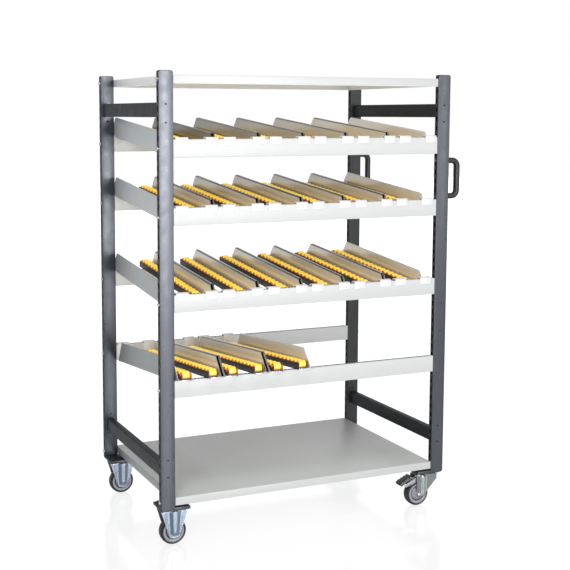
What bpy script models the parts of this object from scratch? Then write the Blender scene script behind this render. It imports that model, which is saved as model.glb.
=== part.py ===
import math

import bmesh
import bpy
from mathutils import Matrix

# Flow rack trolley, all lengths in metres, Z up, the floor at zero
# X runs along the rack to the handle end, Y from the picking side to the rear

# Clearances and working allowances
SEAT_GAP = 0.0003
RUN_GAP = 0.0008
SINK = 0.0005
OVERRUN = 0.004
WELD_DISTANCE = 0.00001
FLAT_DEGREES = 0.2

# Overall rack
RACK_WIDTH = 1.200
RACK_DEPTH = 0.716

# Uprights: flat rectangular tube with a row of slots through both narrow sides
UPRIGHT_WIDTH = 0.055
UPRIGHT_DEPTH = 0.022
UPRIGHT_CORNER = 0.008
SLOT_PITCH = 0.0345
SLOT_COUNT = 45
SLOT_HEIGHT = 0.020
SLOT_WIDTH = 0.008
FIRST_SLOT = 0.032
LAST_SLOT_MARGIN = 0.030
BOLT_HEAD_DIAMETER = 0.015
BOLT_HEAD_THICKNESS = 0.0055
FOOT_PLATE_LENGTH = 0.114
FOOT_PLATE_DEPTH = 0.096
FOOT_PLATE_THICKNESS = 0.008

# Side rails between the front and the rear upright
RAIL_WIDTH = 0.029
RAIL_HEIGHT = 0.052
RAIL_CORNER = 0.004
RAIL_INSET = 0.010
RAIL_LOW_CENTRE = 0.147
RAIL_HIGH_CENTRE = 0.137
RAIL_FLANGE_THICKNESS = 0.003
RAIL_FLANGE_LIP = 0.006

# Shelves: folded trays, open below
SHELF_LIP = 0.030
SHELF_RETURN = 0.012
SHELF_SHEET = 0.0015
SHELF_INSET = 0.001
SHELF_BOLT_DROP = 0.015

# Cross beams: folded profile, open below, closed at both ends
BEAM_HEIGHT = 0.064
BEAM_DEPTH = 0.020
BEAM_SHEET = 0.002
BEAM_INSET = 0.001

# Levels: the slot each one is bolted to, its lanes, and whether it falls to the rear
LEVEL_SLOTS = (37, 30, 21, 12)
LEVEL_LANES = (6, 6, 6, 3)
LEVEL_RETURNS = (False, False, False, True)
LANES_ACROSS = 6
LEVEL_SPARES = (0.0021, 0.0141, 0.0141, 0.0141)
TRACK_FALL_DEGREES = 5.1
LEVEL_SIDE_GAP = 0.0025

# Lane guides: a hood folded over between two lanes, a single plate at the end of a row
GUIDE_HEIGHT = 0.080
GUIDE_SHEET = 0.002
HOOD_WIDTH = 0.016
GUIDE_DROP = 0.005
GUIDE_CORNER = 0.015
GUIDE_SLANT_DEGREES = 35.0
GUIDE_LOW_SETBACK = 0.014
TRACK_OVERHANG = 0.030

# Roller track: floor, outer wall, cradle and rollers
TRACK_WIDTH = 0.050
TRACK_FLOOR = 0.0015
TRACK_WALL = 0.002
TRACK_WALL_HEIGHT = 0.024
CRADLE_HEIGHT = 0.019
CRADLE_MARGIN = 0.0015
ROLLER_PITCH = 0.0333
ROLLER_DIAMETER = 0.031
ROLLER_WIDTH = 0.032
ROLLER_LIFT = 0.0010
ROLLER_END_MARGIN = 0.018
ROLLER_LOW_MARGIN = 0.020

# Hook clip at a track's low end
CLIP_WIDTH = 0.048
CLIP_SHEET = 0.002
CLIP_DROP = 0.020
CLIP_TONGUE = 0.012

# Bow handle
HANDLE_DIAMETER = 0.022
HANDLE_CENTRES = 0.140
HANDLE_REACH = 0.054
HANDLE_BEND = 0.024
HANDLE_HEIGHT = 1.180

# Casters
CASTER_HEIGHT = 0.140
CASTER_SETBACK = 0.060
CASTER_PLATE_LENGTH = 0.105
CASTER_PLATE_DEPTH = 0.085
CASTER_PLATE_THICKNESS = 0.003
WHEEL_CLEARANCE = 0.040
WHEEL_WIDTH = 0.032
HUB_DIAMETER = 0.030
HUB_WIDTH = 0.036
RIM_DIAMETER = 0.076
TREAD_CROWN = 0.006
AXLE_DIAMETER = 0.012
AXLE_HEAD_DIAMETER = 0.018
AXLE_HEAD_THICKNESS = 0.003
LEG_SHEET = 0.003
LEG_FOOT_RADIUS = 0.021
LEG_TOP_WIDTH = 0.098
LEG_BEAD_DEPTH = 0.003
LEG_BEAD_WIDTH = 0.030
LEG_BEAD_TAPER = 0.014

# Swivel head, fork and brake pedal
SWIVEL_TRAIL = 0.034
RACE_DIAMETER = 0.066
RACE_HEIGHT = 0.007
CROWN_THICKNESS = 0.004
CROWN_LENGTH = 0.094
KINGPIN_DIAMETER = 0.016
KINGPIN_HEAD_DIAMETER = 0.026
KINGPIN_HEAD_THICKNESS = 0.004
FORK_FOOT_RADIUS = 0.016
FORK_SHOULDER = 0.022
PEDAL_PIVOT_REACH = 0.040
PEDAL_PIVOT_DROP = 0.030
PEDAL_PIN_DIAMETER = 0.007
PEDAL_BOSS_DIAMETER = 0.014
PEDAL_LENGTH = 0.084
PEDAL_BROW = 0.045
PEDAL_BROW_RISE = 0.016
PEDAL_TIP_RISE = 0.007
PEDAL_WIDTH = 0.036
PEDAL_THICKNESS = 0.008
PEDAL_RIB_COUNT = 4
PEDAL_RIB_HEIGHT = 0.004
PEDAL_RIB_WIDTH = 0.006
PEDAL_RIB_PITCH = 0.0105
BRAKE_STRIP_LENGTH = 0.055
BRAKE_STRIP_DROP = 0.015
BRAKE_STRIP_THICKNESS = 0.0025

# Facets
ROUND_STEPS = 16
PIN_STEPS = 8
CORNER_STEPS = 3
HANDLE_BEND_STEPS = 4

# Places that follow from the sizes above
UPRIGHT_LENGTH = FIRST_SLOT + (SLOT_COUNT - 1) * SLOT_PITCH + LAST_SLOT_MARGIN
RACK_SHIFT = (BOLT_HEAD_THICKNESS - HANDLE_REACH) / 2
UPRIGHT_X = (RACK_WIDTH - UPRIGHT_WIDTH) / 2
UPRIGHT_Y = (RACK_DEPTH - UPRIGHT_DEPTH) / 2
CLEAR_WIDTH = RACK_WIDTH - 2 * UPRIGHT_WIDTH - 2 * SEAT_GAP
BEAM_Y = RACK_DEPTH / 2 - BEAM_INSET - BEAM_DEPTH / 2
BEAM_INNER_Y = BEAM_Y - BEAM_DEPTH / 2
BEAM_OUTER_Y = BEAM_Y + BEAM_DEPTH / 2
FALL = math.radians(TRACK_FALL_DEGREES)
CASTER_Y = RACK_DEPTH / 2 - FOOT_PLATE_DEPTH / 2
CASTER_X = RACK_WIDTH / 2 - CASTER_SETBACK
CASTER_TOP = CASTER_HEIGHT - SINK - SEAT_GAP
BOLTED_SLOTS = (0, *LEVEL_SLOTS, SLOT_COUNT - 1)
WHEEL_DIAMETER = CASTER_HEIGHT - WHEEL_CLEARANCE
AXLE_HEIGHT = WHEEL_DIAMETER / 2
LEG_INNER_Y = HUB_WIDTH / 2 + RUN_GAP


def slot_height(index):
    return CASTER_HEIGHT + FIRST_SLOT + index * SLOT_PITCH


# Scene, collections and materials

for old in list(bpy.data.objects):
    bpy.data.objects.remove(old, do_unlink=True)

parts = bpy.data.collections.new("flow_rack_trolley")
cutters = bpy.data.collections.new("cutters")
bpy.context.scene.collection.children.link(parts)
bpy.context.scene.collection.children.link(cutters)


def material(name, colour, roughness, metallic):
    made = bpy.data.materials.new(name)
    made.use_nodes = True
    shader = made.node_tree.nodes["Principled BSDF"]
    shader.inputs["Base Color"].default_value = (*colour, 1.0)
    shader.inputs["Roughness"].default_value = roughness
    shader.inputs["Metallic"].default_value = metallic
    return made


frame_paint = material("anthracite_paint", (0.165, 0.175, 0.215), 0.45, 0.0)
rail_paint = material("dark_rail_paint", (0.055, 0.060, 0.068), 0.5, 0.0)
light_paint = material("light_grey_paint", (0.66, 0.68, 0.67), 0.5, 0.0)
guide_metal = material("galvanised_guide", (0.55, 0.53, 0.49), 0.35, 0.7)
black_plastic = material("black_plastic", (0.012, 0.012, 0.013), 0.5, 0.0)
zinc = material("bright_zinc", (0.62, 0.68, 0.73), 0.3, 0.9)
rubber = material("grey_rubber", (0.05, 0.05, 0.055), 0.75, 0.0)

root = bpy.data.objects.new("rack_centre", None)
root.location = (RACK_SHIFT, 0.0, 0.0)
parts.objects.link(root)


# Modelling helpers

def link(obj, collection=parts):
    collection.objects.link(obj)
    return obj


def evaluated_mesh(obj):
    bpy.context.view_layer.update()
    graph = bpy.context.evaluated_depsgraph_get()
    mesh = bpy.data.meshes.new_from_object(obj.evaluated_get(graph))
    mesh.transform(obj.matrix_world)
    return mesh


def weld(mesh):
    bm = bmesh.new()
    bm.from_mesh(mesh)
    bmesh.ops.remove_doubles(bm, verts=bm.verts, dist=WELD_DISTANCE)
    bmesh.ops.recalc_face_normals(bm, faces=bm.faces)
    bm.to_mesh(mesh)
    bm.free()
    return mesh


def merge_flats(mesh):
    # faces that lie in one plane become one face again
    bm = bmesh.new()
    bm.from_mesh(mesh)
    bmesh.ops.dissolve_limit(bm, angle_limit=math.radians(FLAT_DEGREES), verts=bm.verts, edges=bm.edges)
    bm.to_mesh(mesh)
    bm.free()
    return mesh


def rounded(corners, radius, steps=CORNER_STEPS):
    # corner points, each drawn as an arc where its radius is not zero
    points = []
    count = len(corners)
    radii = radius if isinstance(radius, (list, tuple)) else [radius] * count
    for index, (x, y) in enumerate(corners):
        if radii[index] == 0:
            points.append((x, y))
            continue
        before = corners[index - 1]
        after = corners[(index + 1) % count]
        to_before = math.atan2(before[1] - y, before[0] - x)
        to_after = math.atan2(after[1] - y, after[0] - x)
        opening = (to_after - to_before + math.pi) % (2 * math.pi) - math.pi
        half = opening / 2
        reach = radii[index] / abs(math.sin(half))
        middle = to_before + half
        centre = (x + reach * math.cos(middle), y + reach * math.sin(middle))
        start = to_before - math.copysign(math.pi / 2, opening)
        sweep = opening - math.copysign(math.pi, opening)
        for step in range(steps + 1):
            angle = start + sweep * step / steps
            points.append((centre[0] + radii[index] * math.cos(angle),
                           centre[1] + radii[index] * math.sin(angle)))
    return points


TURNS = {"along_x": (math.pi / 2, 0.0, math.pi / 2),
         "along_y": (math.pi / 2, 0.0, 0.0),
         "along_z": (0.0, 0.0, 0.0)}


def outline(name, loops, thickness, direction, centre=(0.0, 0.0, 0.0)):
    # flat outline, with any holes as further loops, given a thickness along one axis
    curve = bpy.data.curves.new(name, "CURVE")
    curve.dimensions = "2D"
    curve.fill_mode = "BOTH"
    curve.extrude = thickness / 2
    for loop in loops:
        spline = curve.splines.new("POLY")
        spline.points.add(len(loop) - 1)
        for point, (x, y) in zip(spline.points, loop):
            point.co = (x, y, 0.0, 1.0)
        spline.use_cyclic_u = True
    drawn = link(bpy.data.objects.new(name + "_outline", curve))
    drawn.rotation_euler = TURNS[direction]
    drawn.location = centre
    mesh = merge_flats(weld(evaluated_mesh(drawn)))
    bpy.data.objects.remove(drawn, do_unlink=True)
    mesh.name = name
    return link(bpy.data.objects.new(name, mesh))


def box(name, size, centre):
    bm = bmesh.new()
    bmesh.ops.create_cube(bm, size=1.0)
    bmesh.ops.scale(bm, vec=size, verts=bm.verts)
    bmesh.ops.translate(bm, vec=centre, verts=bm.verts)
    mesh = bpy.data.meshes.new(name)
    bm.to_mesh(mesh)
    bm.free()
    return link(bpy.data.objects.new(name, mesh))


AXES = {"x": Matrix.Rotation(math.pi / 2, 4, "Y"),
        "y": Matrix.Rotation(math.pi / 2, 4, "X"),
        "z": Matrix.Identity(4)}


def cylinder(name, diameter, length, axis, centre, steps=PIN_STEPS):
    bm = bmesh.new()
    bmesh.ops.create_cone(bm, cap_ends=True, segments=steps, radius1=diameter / 2,
                          radius2=diameter / 2, depth=length)
    bmesh.ops.transform(bm, matrix=Matrix.Translation(centre) @ AXES[axis], verts=bm.verts)
    mesh = bpy.data.meshes.new(name)
    bm.to_mesh(mesh)
    bm.free()
    return link(bpy.data.objects.new(name, mesh))


def turned(name, profile, steps=ROUND_STEPS):
    # closed profile of radius and height pairs turned about Z
    bm = bmesh.new()
    ring = [bm.verts.new((radius, 0.0, height)) for radius, height in profile]
    for first, second in zip(ring, ring[1:] + ring[:1]):
        bm.edges.new((first, second))
    mesh = bpy.data.meshes.new(name)
    bm.to_mesh(mesh)
    bm.free()
    obj = link(bpy.data.objects.new(name, mesh))
    screw = obj.modifiers.new("Screw", "SCREW")
    screw.axis = "Z"
    screw.steps = steps
    screw.render_steps = steps
    screw.use_merge_vertices = True
    screw.merge_threshold = WELD_DISTANCE
    baked = weld(evaluated_mesh(obj))
    obj.modifiers.clear()
    obj.data = baked
    return obj


def combine(obj, others, operation):
    for other in others:
        step = obj.modifiers.new(operation, "BOOLEAN")
        step.operation = operation
        step.object = other
        step.solver = "EXACT"
    mesh = merge_flats(evaluated_mesh(obj))
    obj.modifiers.clear()
    obj.data = mesh
    obj.matrix_world = Matrix.Identity(4)
    return obj


def fuse(obj, *others):
    combine(obj, others, "UNION")
    for other in others:
        bpy.data.objects.remove(other, do_unlink=True)
    return obj


def put_away(tool):
    parts.objects.unlink(tool)
    cutters.objects.link(tool)
    tool.name = tool.name + "_cutter"
    tool.hide_render = True
    tool.display_type = "WIRE"


def carve(obj, *tools):
    combine(obj, tools, "DIFFERENCE")
    for tool in tools:
        put_away(tool)
    return obj


def finish(obj, look, location=(0.0, 0.0, 0.0), rotation=(0.0, 0.0, 0.0), smooth=None):
    obj.data.materials.clear()
    obj.data.materials.append(look)
    if smooth is not None:
        obj.data.shade_smooth()
        obj.data.set_sharp_from_angle(angle=math.radians(smooth))
    obj.location = location
    obj.rotation_euler = rotation
    obj.parent = root
    return obj


def copy_of(obj, name, location, rotation):
    twin = link(bpy.data.objects.new(name, obj.data))
    twin.location = location
    twin.rotation_euler = rotation
    twin.parent = root
    return twin


# Uprights with their welded foot plates

def slot_cutter():
    loops = []
    for index in range(SLOT_COUNT):
        low = FIRST_SLOT + index * SLOT_PITCH - SLOT_HEIGHT / 2
        loops.append([(-SLOT_WIDTH / 2, low), (-SLOT_WIDTH / 2, low + SLOT_HEIGHT),
                      (SLOT_WIDTH / 2, low + SLOT_HEIGHT), (SLOT_WIDTH / 2, low)])
    return outline("slots", loops, UPRIGHT_WIDTH + 2 * OVERRUN, "along_x")


def bolt_head(name, side, height):
    x = side * (UPRIGHT_WIDTH / 2 + (BOLT_HEAD_THICKNESS - SINK) / 2)
    return cylinder(name + "_bolt", BOLT_HEAD_DIAMETER, BOLT_HEAD_THICKNESS + SINK, "x",
                    (x, 0.0, height), steps=6)


def upright(name, side, end, slots):
    # side is +1 at the handle end, end is +1 at the rear
    half_width = UPRIGHT_WIDTH / 2
    half_depth = UPRIGHT_DEPTH / 2
    face = rounded([(-half_width, 0.0), (half_width, 0.0),
                    (half_width, UPRIGHT_LENGTH), (-half_width, UPRIGHT_LENGTH)],
                   UPRIGHT_CORNER)
    post = outline(name, [face], UPRIGHT_DEPTH, "along_y")
    plate_x = side * (half_width - FOOT_PLATE_LENGTH / 2 - UPRIGHT_CORNER / 2)
    plate_y = end * (half_depth - SINK - FOOT_PLATE_DEPTH / 2)
    plate = box(name + "_plate",
                (FOOT_PLATE_LENGTH - UPRIGHT_CORNER, FOOT_PLATE_DEPTH, FOOT_PLATE_THICKNESS),
                (plate_x, plate_y, FOOT_PLATE_THICKNESS / 2 - SINK))
    combine(post, [slots], "DIFFERENCE")
    heads = [bolt_head(name, side, FIRST_SLOT + index * SLOT_PITCH) for index in BOLTED_SLOTS]
    fuse(post, plate, *heads)
    return finish(post, frame_paint, (side * UPRIGHT_X, end * UPRIGHT_Y, CASTER_HEIGHT))


slot_tool = slot_cutter()
for side, side_name in ((-1, "left"), (1, "right")):
    for end, end_name in ((-1, "front"), (1, "rear")):
        upright("upright_" + end_name + "_" + side_name, side, end, slot_tool)
put_away(slot_tool)


# Side rails, tube with a flange at each end

def side_rail(name, side, height):
    length = RACK_DEPTH - 2 * UPRIGHT_DEPTH - 2 * SEAT_GAP
    half_width = RAIL_WIDTH / 2
    half_height = RAIL_HEIGHT / 2
    section = rounded([(-half_width, -half_height), (half_width, -half_height),
                       (half_width, half_height), (-half_width, half_height)],
                      RAIL_CORNER, steps=2)
    rail = outline(name, [section], length, "along_y")
    flange_y = (length - RAIL_FLANGE_THICKNESS) / 2
    flanges = [box(name + "_flange", (RAIL_WIDTH, RAIL_FLANGE_THICKNESS, RAIL_HEIGHT - 2 * SINK),
                   (side * RAIL_FLANGE_LIP, end * flange_y, 0.0)) for end in (-1, 1)]
    fuse(rail, *flanges)
    rail_x = side * (RACK_WIDTH / 2 - RAIL_INSET - RAIL_WIDTH / 2)
    return finish(rail, rail_paint, (rail_x, 0.0, height), smooth=40)


for side, side_name in ((-1, "left"), (1, "right")):
    side_rail("side_rail_low_" + side_name, side, CASTER_HEIGHT + RAIL_LOW_CENTRE)
    side_rail("side_rail_high_" + side_name, side,
              CASTER_HEIGHT + UPRIGHT_LENGTH - RAIL_HIGH_CENTRE)


# Sheet-metal pressings: an open box shape given a wall thickness

def folded_sheet(name, size, sheet, lip_return):
    bm = bmesh.new()
    bmesh.ops.create_cube(bm, size=1.0)
    bmesh.ops.scale(bm, vec=size, verts=bm.verts)
    bm.faces.ensure_lookup_table()
    under = min(bm.faces, key=lambda face: face.calc_center_median().z)
    if lip_return > 0:
        bmesh.ops.inset_region(bm, faces=[under], thickness=lip_return)
    bmesh.ops.delete(bm, geom=[under], context="FACES_ONLY")
    mesh = bpy.data.meshes.new(name)
    bm.to_mesh(mesh)
    bm.free()
    obj = link(bpy.data.objects.new(name, mesh))
    wall = obj.modifiers.new("Sheet", "SOLIDIFY")
    wall.thickness = sheet
    wall.offset = -1.0
    wall.use_even_offset = True
    baked = weld(evaluated_mesh(obj))
    obj.modifiers.clear()
    obj.data = baked
    return obj


shelf_size = (CLEAR_WIDTH, RACK_DEPTH - 2 * SHELF_INSET, SHELF_LIP)
for shelf_name, slot in (("shelf_bottom", 0), ("shelf_top", SLOT_COUNT - 1)):
    shelf = folded_sheet(shelf_name, shelf_size, SHELF_SHEET, SHELF_RETURN)
    finish(shelf, light_paint, (0.0, 0.0, slot_height(slot)))

for level, slot in enumerate(LEVEL_SLOTS, start=1):
    for end, end_name in ((-1, "front"), (1, "rear")):
        beam = folded_sheet("level_%d_beam_%s" % (level, end_name),
                            (CLEAR_WIDTH, BEAM_DEPTH, BEAM_HEIGHT), BEAM_SHEET, 0)
        finish(beam, light_paint, (0.0, end * BEAM_Y, slot_height(slot)))


# Roller tracks, built level with their fall along Y, low end at -Y, foot of the guide at zero

SIN_FALL = math.sin(FALL)
COS_FALL = math.cos(FALL)
REST_Y = (BEAM_INNER_Y + GUIDE_DROP * SIN_FALL) / COS_FALL
TRACK_RISE = BEAM_HEIGHT / 2 + SEAT_GAP - REST_Y * SIN_FALL - GUIDE_DROP * COS_FALL
WALL_TOP = GUIDE_DROP + TRACK_WALL_HEIGHT
LOW_END = -(BEAM_INNER_Y - SEAT_GAP - WALL_TOP * SIN_FALL) / COS_FALL
GUIDE_LOW_END = -(BEAM_INNER_Y - GUIDE_LOW_SETBACK) / COS_FALL
HIGH_END = (BEAM_OUTER_Y + TRACK_OVERHANG) / COS_FALL
NOTCH_Y = (BEAM_INNER_Y - RUN_GAP) / COS_FALL
FIRST_ROLLER = HIGH_END - ROLLER_END_MARGIN
ROLLER_COUNT = int((FIRST_ROLLER - LOW_END - ROLLER_LOW_MARGIN) // ROLLER_PITCH) + 1


def in_track(point):
    # a point given level, relative to the track's foot, as it lies along the fallen track
    y, z = point
    return (y * COS_FALL + (z - TRACK_RISE) * SIN_FALL,
            -y * SIN_FALL + (z - TRACK_RISE) * COS_FALL)


def guide_outline():
    slant = math.tan(math.radians(GUIDE_SLANT_DEGREES))
    low_top = GUIDE_LOW_END + GUIDE_HEIGHT * slant
    high_top = HIGH_END - (GUIDE_HEIGHT - GUIDE_DROP) * slant
    corners = [(GUIDE_LOW_END, 0.0), (NOTCH_Y, 0.0), (NOTCH_Y, GUIDE_DROP), (HIGH_END, GUIDE_DROP),
               (high_top, GUIDE_HEIGHT), (low_top, GUIDE_HEIGHT)]
    return rounded(corners, (0, 0, 0, 0, GUIDE_CORNER, GUIDE_CORNER), steps=2)


def hood():
    shape = outline("hood", [guide_outline()], HOOD_WIDTH, "along_x")
    inner_height = GUIDE_HEIGHT - GUIDE_SHEET + OVERRUN
    inside = box("hood_inside",
                 (HOOD_WIDTH - 2 * GUIDE_SHEET, HIGH_END - LOW_END + 2 * OVERRUN, inner_height),
                 (0.0, (HIGH_END + LOW_END) / 2, inner_height / 2 - OVERRUN))
    return carve(shape, inside)


def roller_bar(name, side, face_x):
    # cradle with its rollers, seen from the side, their crests standing over the cradle
    floor_top = GUIDE_DROP + TRACK_FLOOR
    crest = floor_top + ROLLER_LIFT + ROLLER_DIAMETER
    valley = crest - ROLLER_DIAMETER / 4
    last = FIRST_ROLLER - (ROLLER_COUNT - 1) * ROLLER_PITCH
    points = [(last - ROLLER_PITCH / 2, floor_top - SINK),
              (FIRST_ROLLER + ROLLER_PITCH / 2, floor_top - SINK)]
    points.append((FIRST_ROLLER + ROLLER_PITCH / 2, valley))
    for index in range(ROLLER_COUNT):
        y = FIRST_ROLLER - index * ROLLER_PITCH
        points.append((y, crest))
        points.append((y - ROLLER_PITCH / 2, valley))
    centre = face_x + side * (TRACK_WIDTH - TRACK_WALL - CRADLE_MARGIN - ROLLER_WIDTH / 2)
    return outline(name, [points], ROLLER_WIDTH, "along_x", (centre, 0.0, 0.0))


def track_channel(name, side, face_x):
    # folded floor and outer wall, starting inside the guide's sheet
    inner = face_x - side * GUIDE_SHEET / 2
    outer = face_x + side * TRACK_WIDTH
    wall_in = outer - side * TRACK_WALL
    floor = GUIDE_DROP
    section = [(inner, floor), (outer, floor), (outer, WALL_TOP), (wall_in, WALL_TOP),
               (wall_in, floor + TRACK_FLOOR), (inner, floor + TRACK_FLOOR)]
    return outline(name, [section], HIGH_END - SINK - LOW_END, "along_y",
                   (0.0, (HIGH_END - SINK + LOW_END) / 2, 0.0))


def above_track(y, height):
    # the point over a level place y that stands a given height above the track's foot
    rise = (height + y * SIN_FALL) / COS_FALL
    return y * COS_FALL + rise * SIN_FALL, height


def hook_clip(name, side, face_x):
    # strip from the track floor that rises behind the low beam and hooks over it
    inner = -(BEAM_INNER_Y - SEAT_GAP)
    outer = -(BEAM_OUTER_Y + SEAT_GAP)
    top = BEAM_HEIGHT / 2 + SEAT_GAP
    floor = GUIDE_DROP + SINK
    strip = floor + TRACK_FLOOR
    corners = [(LOW_END + CLIP_TONGUE, floor), (LOW_END + CLIP_TONGUE, strip),
               above_track(inner + CLIP_SHEET, strip), in_track((inner + CLIP_SHEET, top + CLIP_SHEET)),
               in_track((outer - CLIP_SHEET, top + CLIP_SHEET)),
               in_track((outer - CLIP_SHEET, top - CLIP_DROP)), in_track((outer, top - CLIP_DROP)),
               in_track((outer, top)), in_track((inner, top)), above_track(inner, floor)]
    centre = face_x + side * (TRACK_WIDTH - CLIP_WIDTH / 2)
    return outline(name, [corners], CLIP_WIDTH, "along_x", (centre, 0.0, 0.0))


def add_track(guide, side, face_x):
    pieces = [track_channel("track_channel", side, face_x), roller_bar("track_rollers", side, face_x),
              hook_clip("track_clip", side, face_x)]
    return fuse(guide, *pieces)


def end_guide(side):
    # single plate whose lane face stands at zero, with its track towards +side
    plate = outline("end_guide", [guide_outline()], GUIDE_SHEET, "along_x",
                    (-side * GUIDE_SHEET / 2, 0.0, 0.0))
    return add_track(plate, side, 0.0)


divider_master = add_track(add_track(hood(), 1, HOOD_WIDTH / 2), -1, -HOOD_WIDTH / 2)
left_master = end_guide(1)
right_master = end_guide(-1)
for master in (divider_master, left_master, right_master):
    master.data.materials.clear()
    master.data.materials.append(guide_metal)

for level, slot in enumerate(LEVEL_SLOTS, start=1):
    lanes = LEVEL_LANES[level - 1]
    back = LEVEL_RETURNS[level - 1]
    left_face = -CLEAR_WIDTH / 2 + LEVEL_SIDE_GAP + GUIDE_SHEET
    span = CLEAR_WIDTH / 2 - LEVEL_SPARES[level - 1] - GUIDE_SHEET - left_face
    clear = (span - (LANES_ACROSS - 1) * HOOD_WIDTH) / LANES_ACROSS
    turn = (FALL, 0.0, math.pi if back else 0.0)
    height = slot_height(slot) + TRACK_RISE
    first, last = (right_master, left_master) if back else (left_master, right_master)
    copy_of(first, "level_%d_track_left_end" % level, (left_face, 0.0, height), turn)
    for index in range(1, lanes):
        x = left_face + index * clear + (index - 0.5) * HOOD_WIDTH
        copy_of(divider_master, "level_%d_track_pair_%d" % (level, index), (x, 0.0, height), turn)
    right_face = left_face + lanes * clear + (lanes - 1) * HOOD_WIDTH
    copy_of(last, "level_%d_track_right_end" % level, (right_face, 0.0, height), turn)

for master in (divider_master, left_master, right_master):
    bpy.data.objects.remove(master, do_unlink=True)


# Bow handles on the outer side of the right-hand uprights

def bow_handle(name, end):
    reach = HANDLE_REACH - HANDLE_DIAMETER / 2
    half = HANDLE_CENTRES / 2
    bends = rounded([(SEAT_GAP, -half), (reach, -half), (reach, half), (SEAT_GAP, half)],
                    (0, HANDLE_BEND, HANDLE_BEND, 0), steps=HANDLE_BEND_STEPS)
    curve = bpy.data.curves.new(name, "CURVE")
    curve.dimensions = "3D"
    curve.bevel_depth = HANDLE_DIAMETER / 2
    curve.bevel_resolution = 2
    curve.use_fill_caps = True
    spline = curve.splines.new("POLY")
    spline.points.add(len(bends) - 1)
    for point, (x, z) in zip(spline.points, bends):
        point.co = (x, 0.0, z, 1.0)
    drawn = link(bpy.data.objects.new(name + "_path", curve))
    mesh = weld(evaluated_mesh(drawn))
    bpy.data.objects.remove(drawn, do_unlink=True)
    obj = link(bpy.data.objects.new(name, mesh))
    return finish(obj, black_plastic, (RACK_WIDTH / 2, end * UPRIGHT_Y, CASTER_HEIGHT + HANDLE_HEIGHT),
                  smooth=50)


bow_handle("handle_front", -1)
bow_handle("handle_rear", 1)


# Casters

def wheel(name, location):
    bore = AXLE_DIAMETER / 2 + RUN_GAP
    side = [(WHEEL_DIAMETER / 2, WHEEL_WIDTH / 2 - TREAD_CROWN),
            (WHEEL_DIAMETER / 2 - TREAD_CROWN, WHEEL_WIDTH / 2),
            (RIM_DIAMETER / 2, WHEEL_WIDTH / 2),
            (HUB_DIAMETER / 2, HUB_WIDTH / 2),
            (bore, HUB_WIDTH / 2)]
    profile = [(radius, -height) for radius, height in side] + side[::-1]
    body = turned(name, profile)
    body.data.transform(AXES["y"])
    body.data.transform(Matrix.Rotation(math.pi / 2, 4, "Y"))
    return finish(body, rubber, location, smooth=30)


def caster_plate(name, top):
    return box(name, (CASTER_PLATE_LENGTH, CASTER_PLATE_DEPTH, CASTER_PLATE_THICKNESS),
               (0.0, 0.0, top - CASTER_PLATE_THICKNESS / 2))


def leg_bead(name, y, outward, top, foot):
    # pressed vertical bead that stands out from a leg and narrows to the axle
    corners = [(-LEG_BEAD_WIDTH / 2, top), (LEG_BEAD_WIDTH / 2, top),
               (LEG_BEAD_TAPER / 2, foot), (-LEG_BEAD_TAPER / 2, foot)]
    return outline(name, [corners], LEG_BEAD_DEPTH + SINK, "along_y",
                   (0.0, y + outward * (LEG_BEAD_DEPTH - SINK) / 2, 0.0))


def fixed_fork(name, x, y):
    top = CASTER_TOP - AXLE_HEIGHT
    pieces = []
    under = top - CASTER_PLATE_THICKNESS
    half = LEG_TOP_WIDTH / 2
    for outward in (-1, 1):
        lean = math.asin(LEG_FOOT_RADIUS / math.hypot(half, under))
        angle = math.atan2(half, under) + lean
        foot = [(LEG_FOOT_RADIUS * math.cos(t), LEG_FOOT_RADIUS * math.sin(t)) for t in
                [-angle + (2 * angle - math.pi) * step / 8 for step in range(9)]]
        sheet = [(-half, under + SINK), (half, under + SINK)] + foot
        leg_y = outward * (LEG_INNER_Y + LEG_SHEET / 2)
        pieces.append(outline(name + "_leg", [sheet], LEG_SHEET, "along_y", (0.0, leg_y, 0.0)))
        face_y = outward * (LEG_INNER_Y + LEG_SHEET)
        pieces.append(leg_bead(name + "_bead", face_y, outward, under, AXLE_DIAMETER / 2))
        head_y = face_y + outward * (AXLE_HEAD_THICKNESS - SINK) / 2
        pieces.append(cylinder(name + "_head", AXLE_HEAD_DIAMETER, AXLE_HEAD_THICKNESS + SINK, "y",
                               (0.0, head_y, 0.0)))
    pieces.append(cylinder(name + "_axle", AXLE_DIAMETER, 2 * LEG_INNER_Y + LEG_SHEET, "y",
                           (0.0, 0.0, 0.0)))
    fork = fuse(caster_plate(name, top), *pieces)
    return finish(fork, zinc, (x, y, AXLE_HEIGHT))


def swivel_head(name, x, y):
    plate = caster_plate(name, 0.0)
    race_top = -CASTER_PLATE_THICKNESS
    race_foot = race_top - RACE_HEIGHT
    crown_foot = race_foot - SEAT_GAP - SINK - CROWN_THICKNESS
    pin_length = race_foot - crown_foot + SEAT_GAP + SINK * 2
    race = cylinder(name + "_race", RACE_DIAMETER, RACE_HEIGHT + SINK, "z",
                    (0.0, 0.0, race_top - (RACE_HEIGHT - SINK) / 2), ROUND_STEPS)
    pin = cylinder(name + "_pin", KINGPIN_DIAMETER, pin_length, "z",
                   (0.0, 0.0, race_foot + SINK - pin_length / 2))
    rivet = cylinder(name + "_rivet", KINGPIN_HEAD_DIAMETER, KINGPIN_HEAD_THICKNESS, "z",
                     (0.0, 0.0, crown_foot - SEAT_GAP - KINGPIN_HEAD_THICKNESS / 2))
    fuse(plate, race, pin, rivet)
    return finish(plate, zinc, (x, y, CASTER_TOP))


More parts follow.
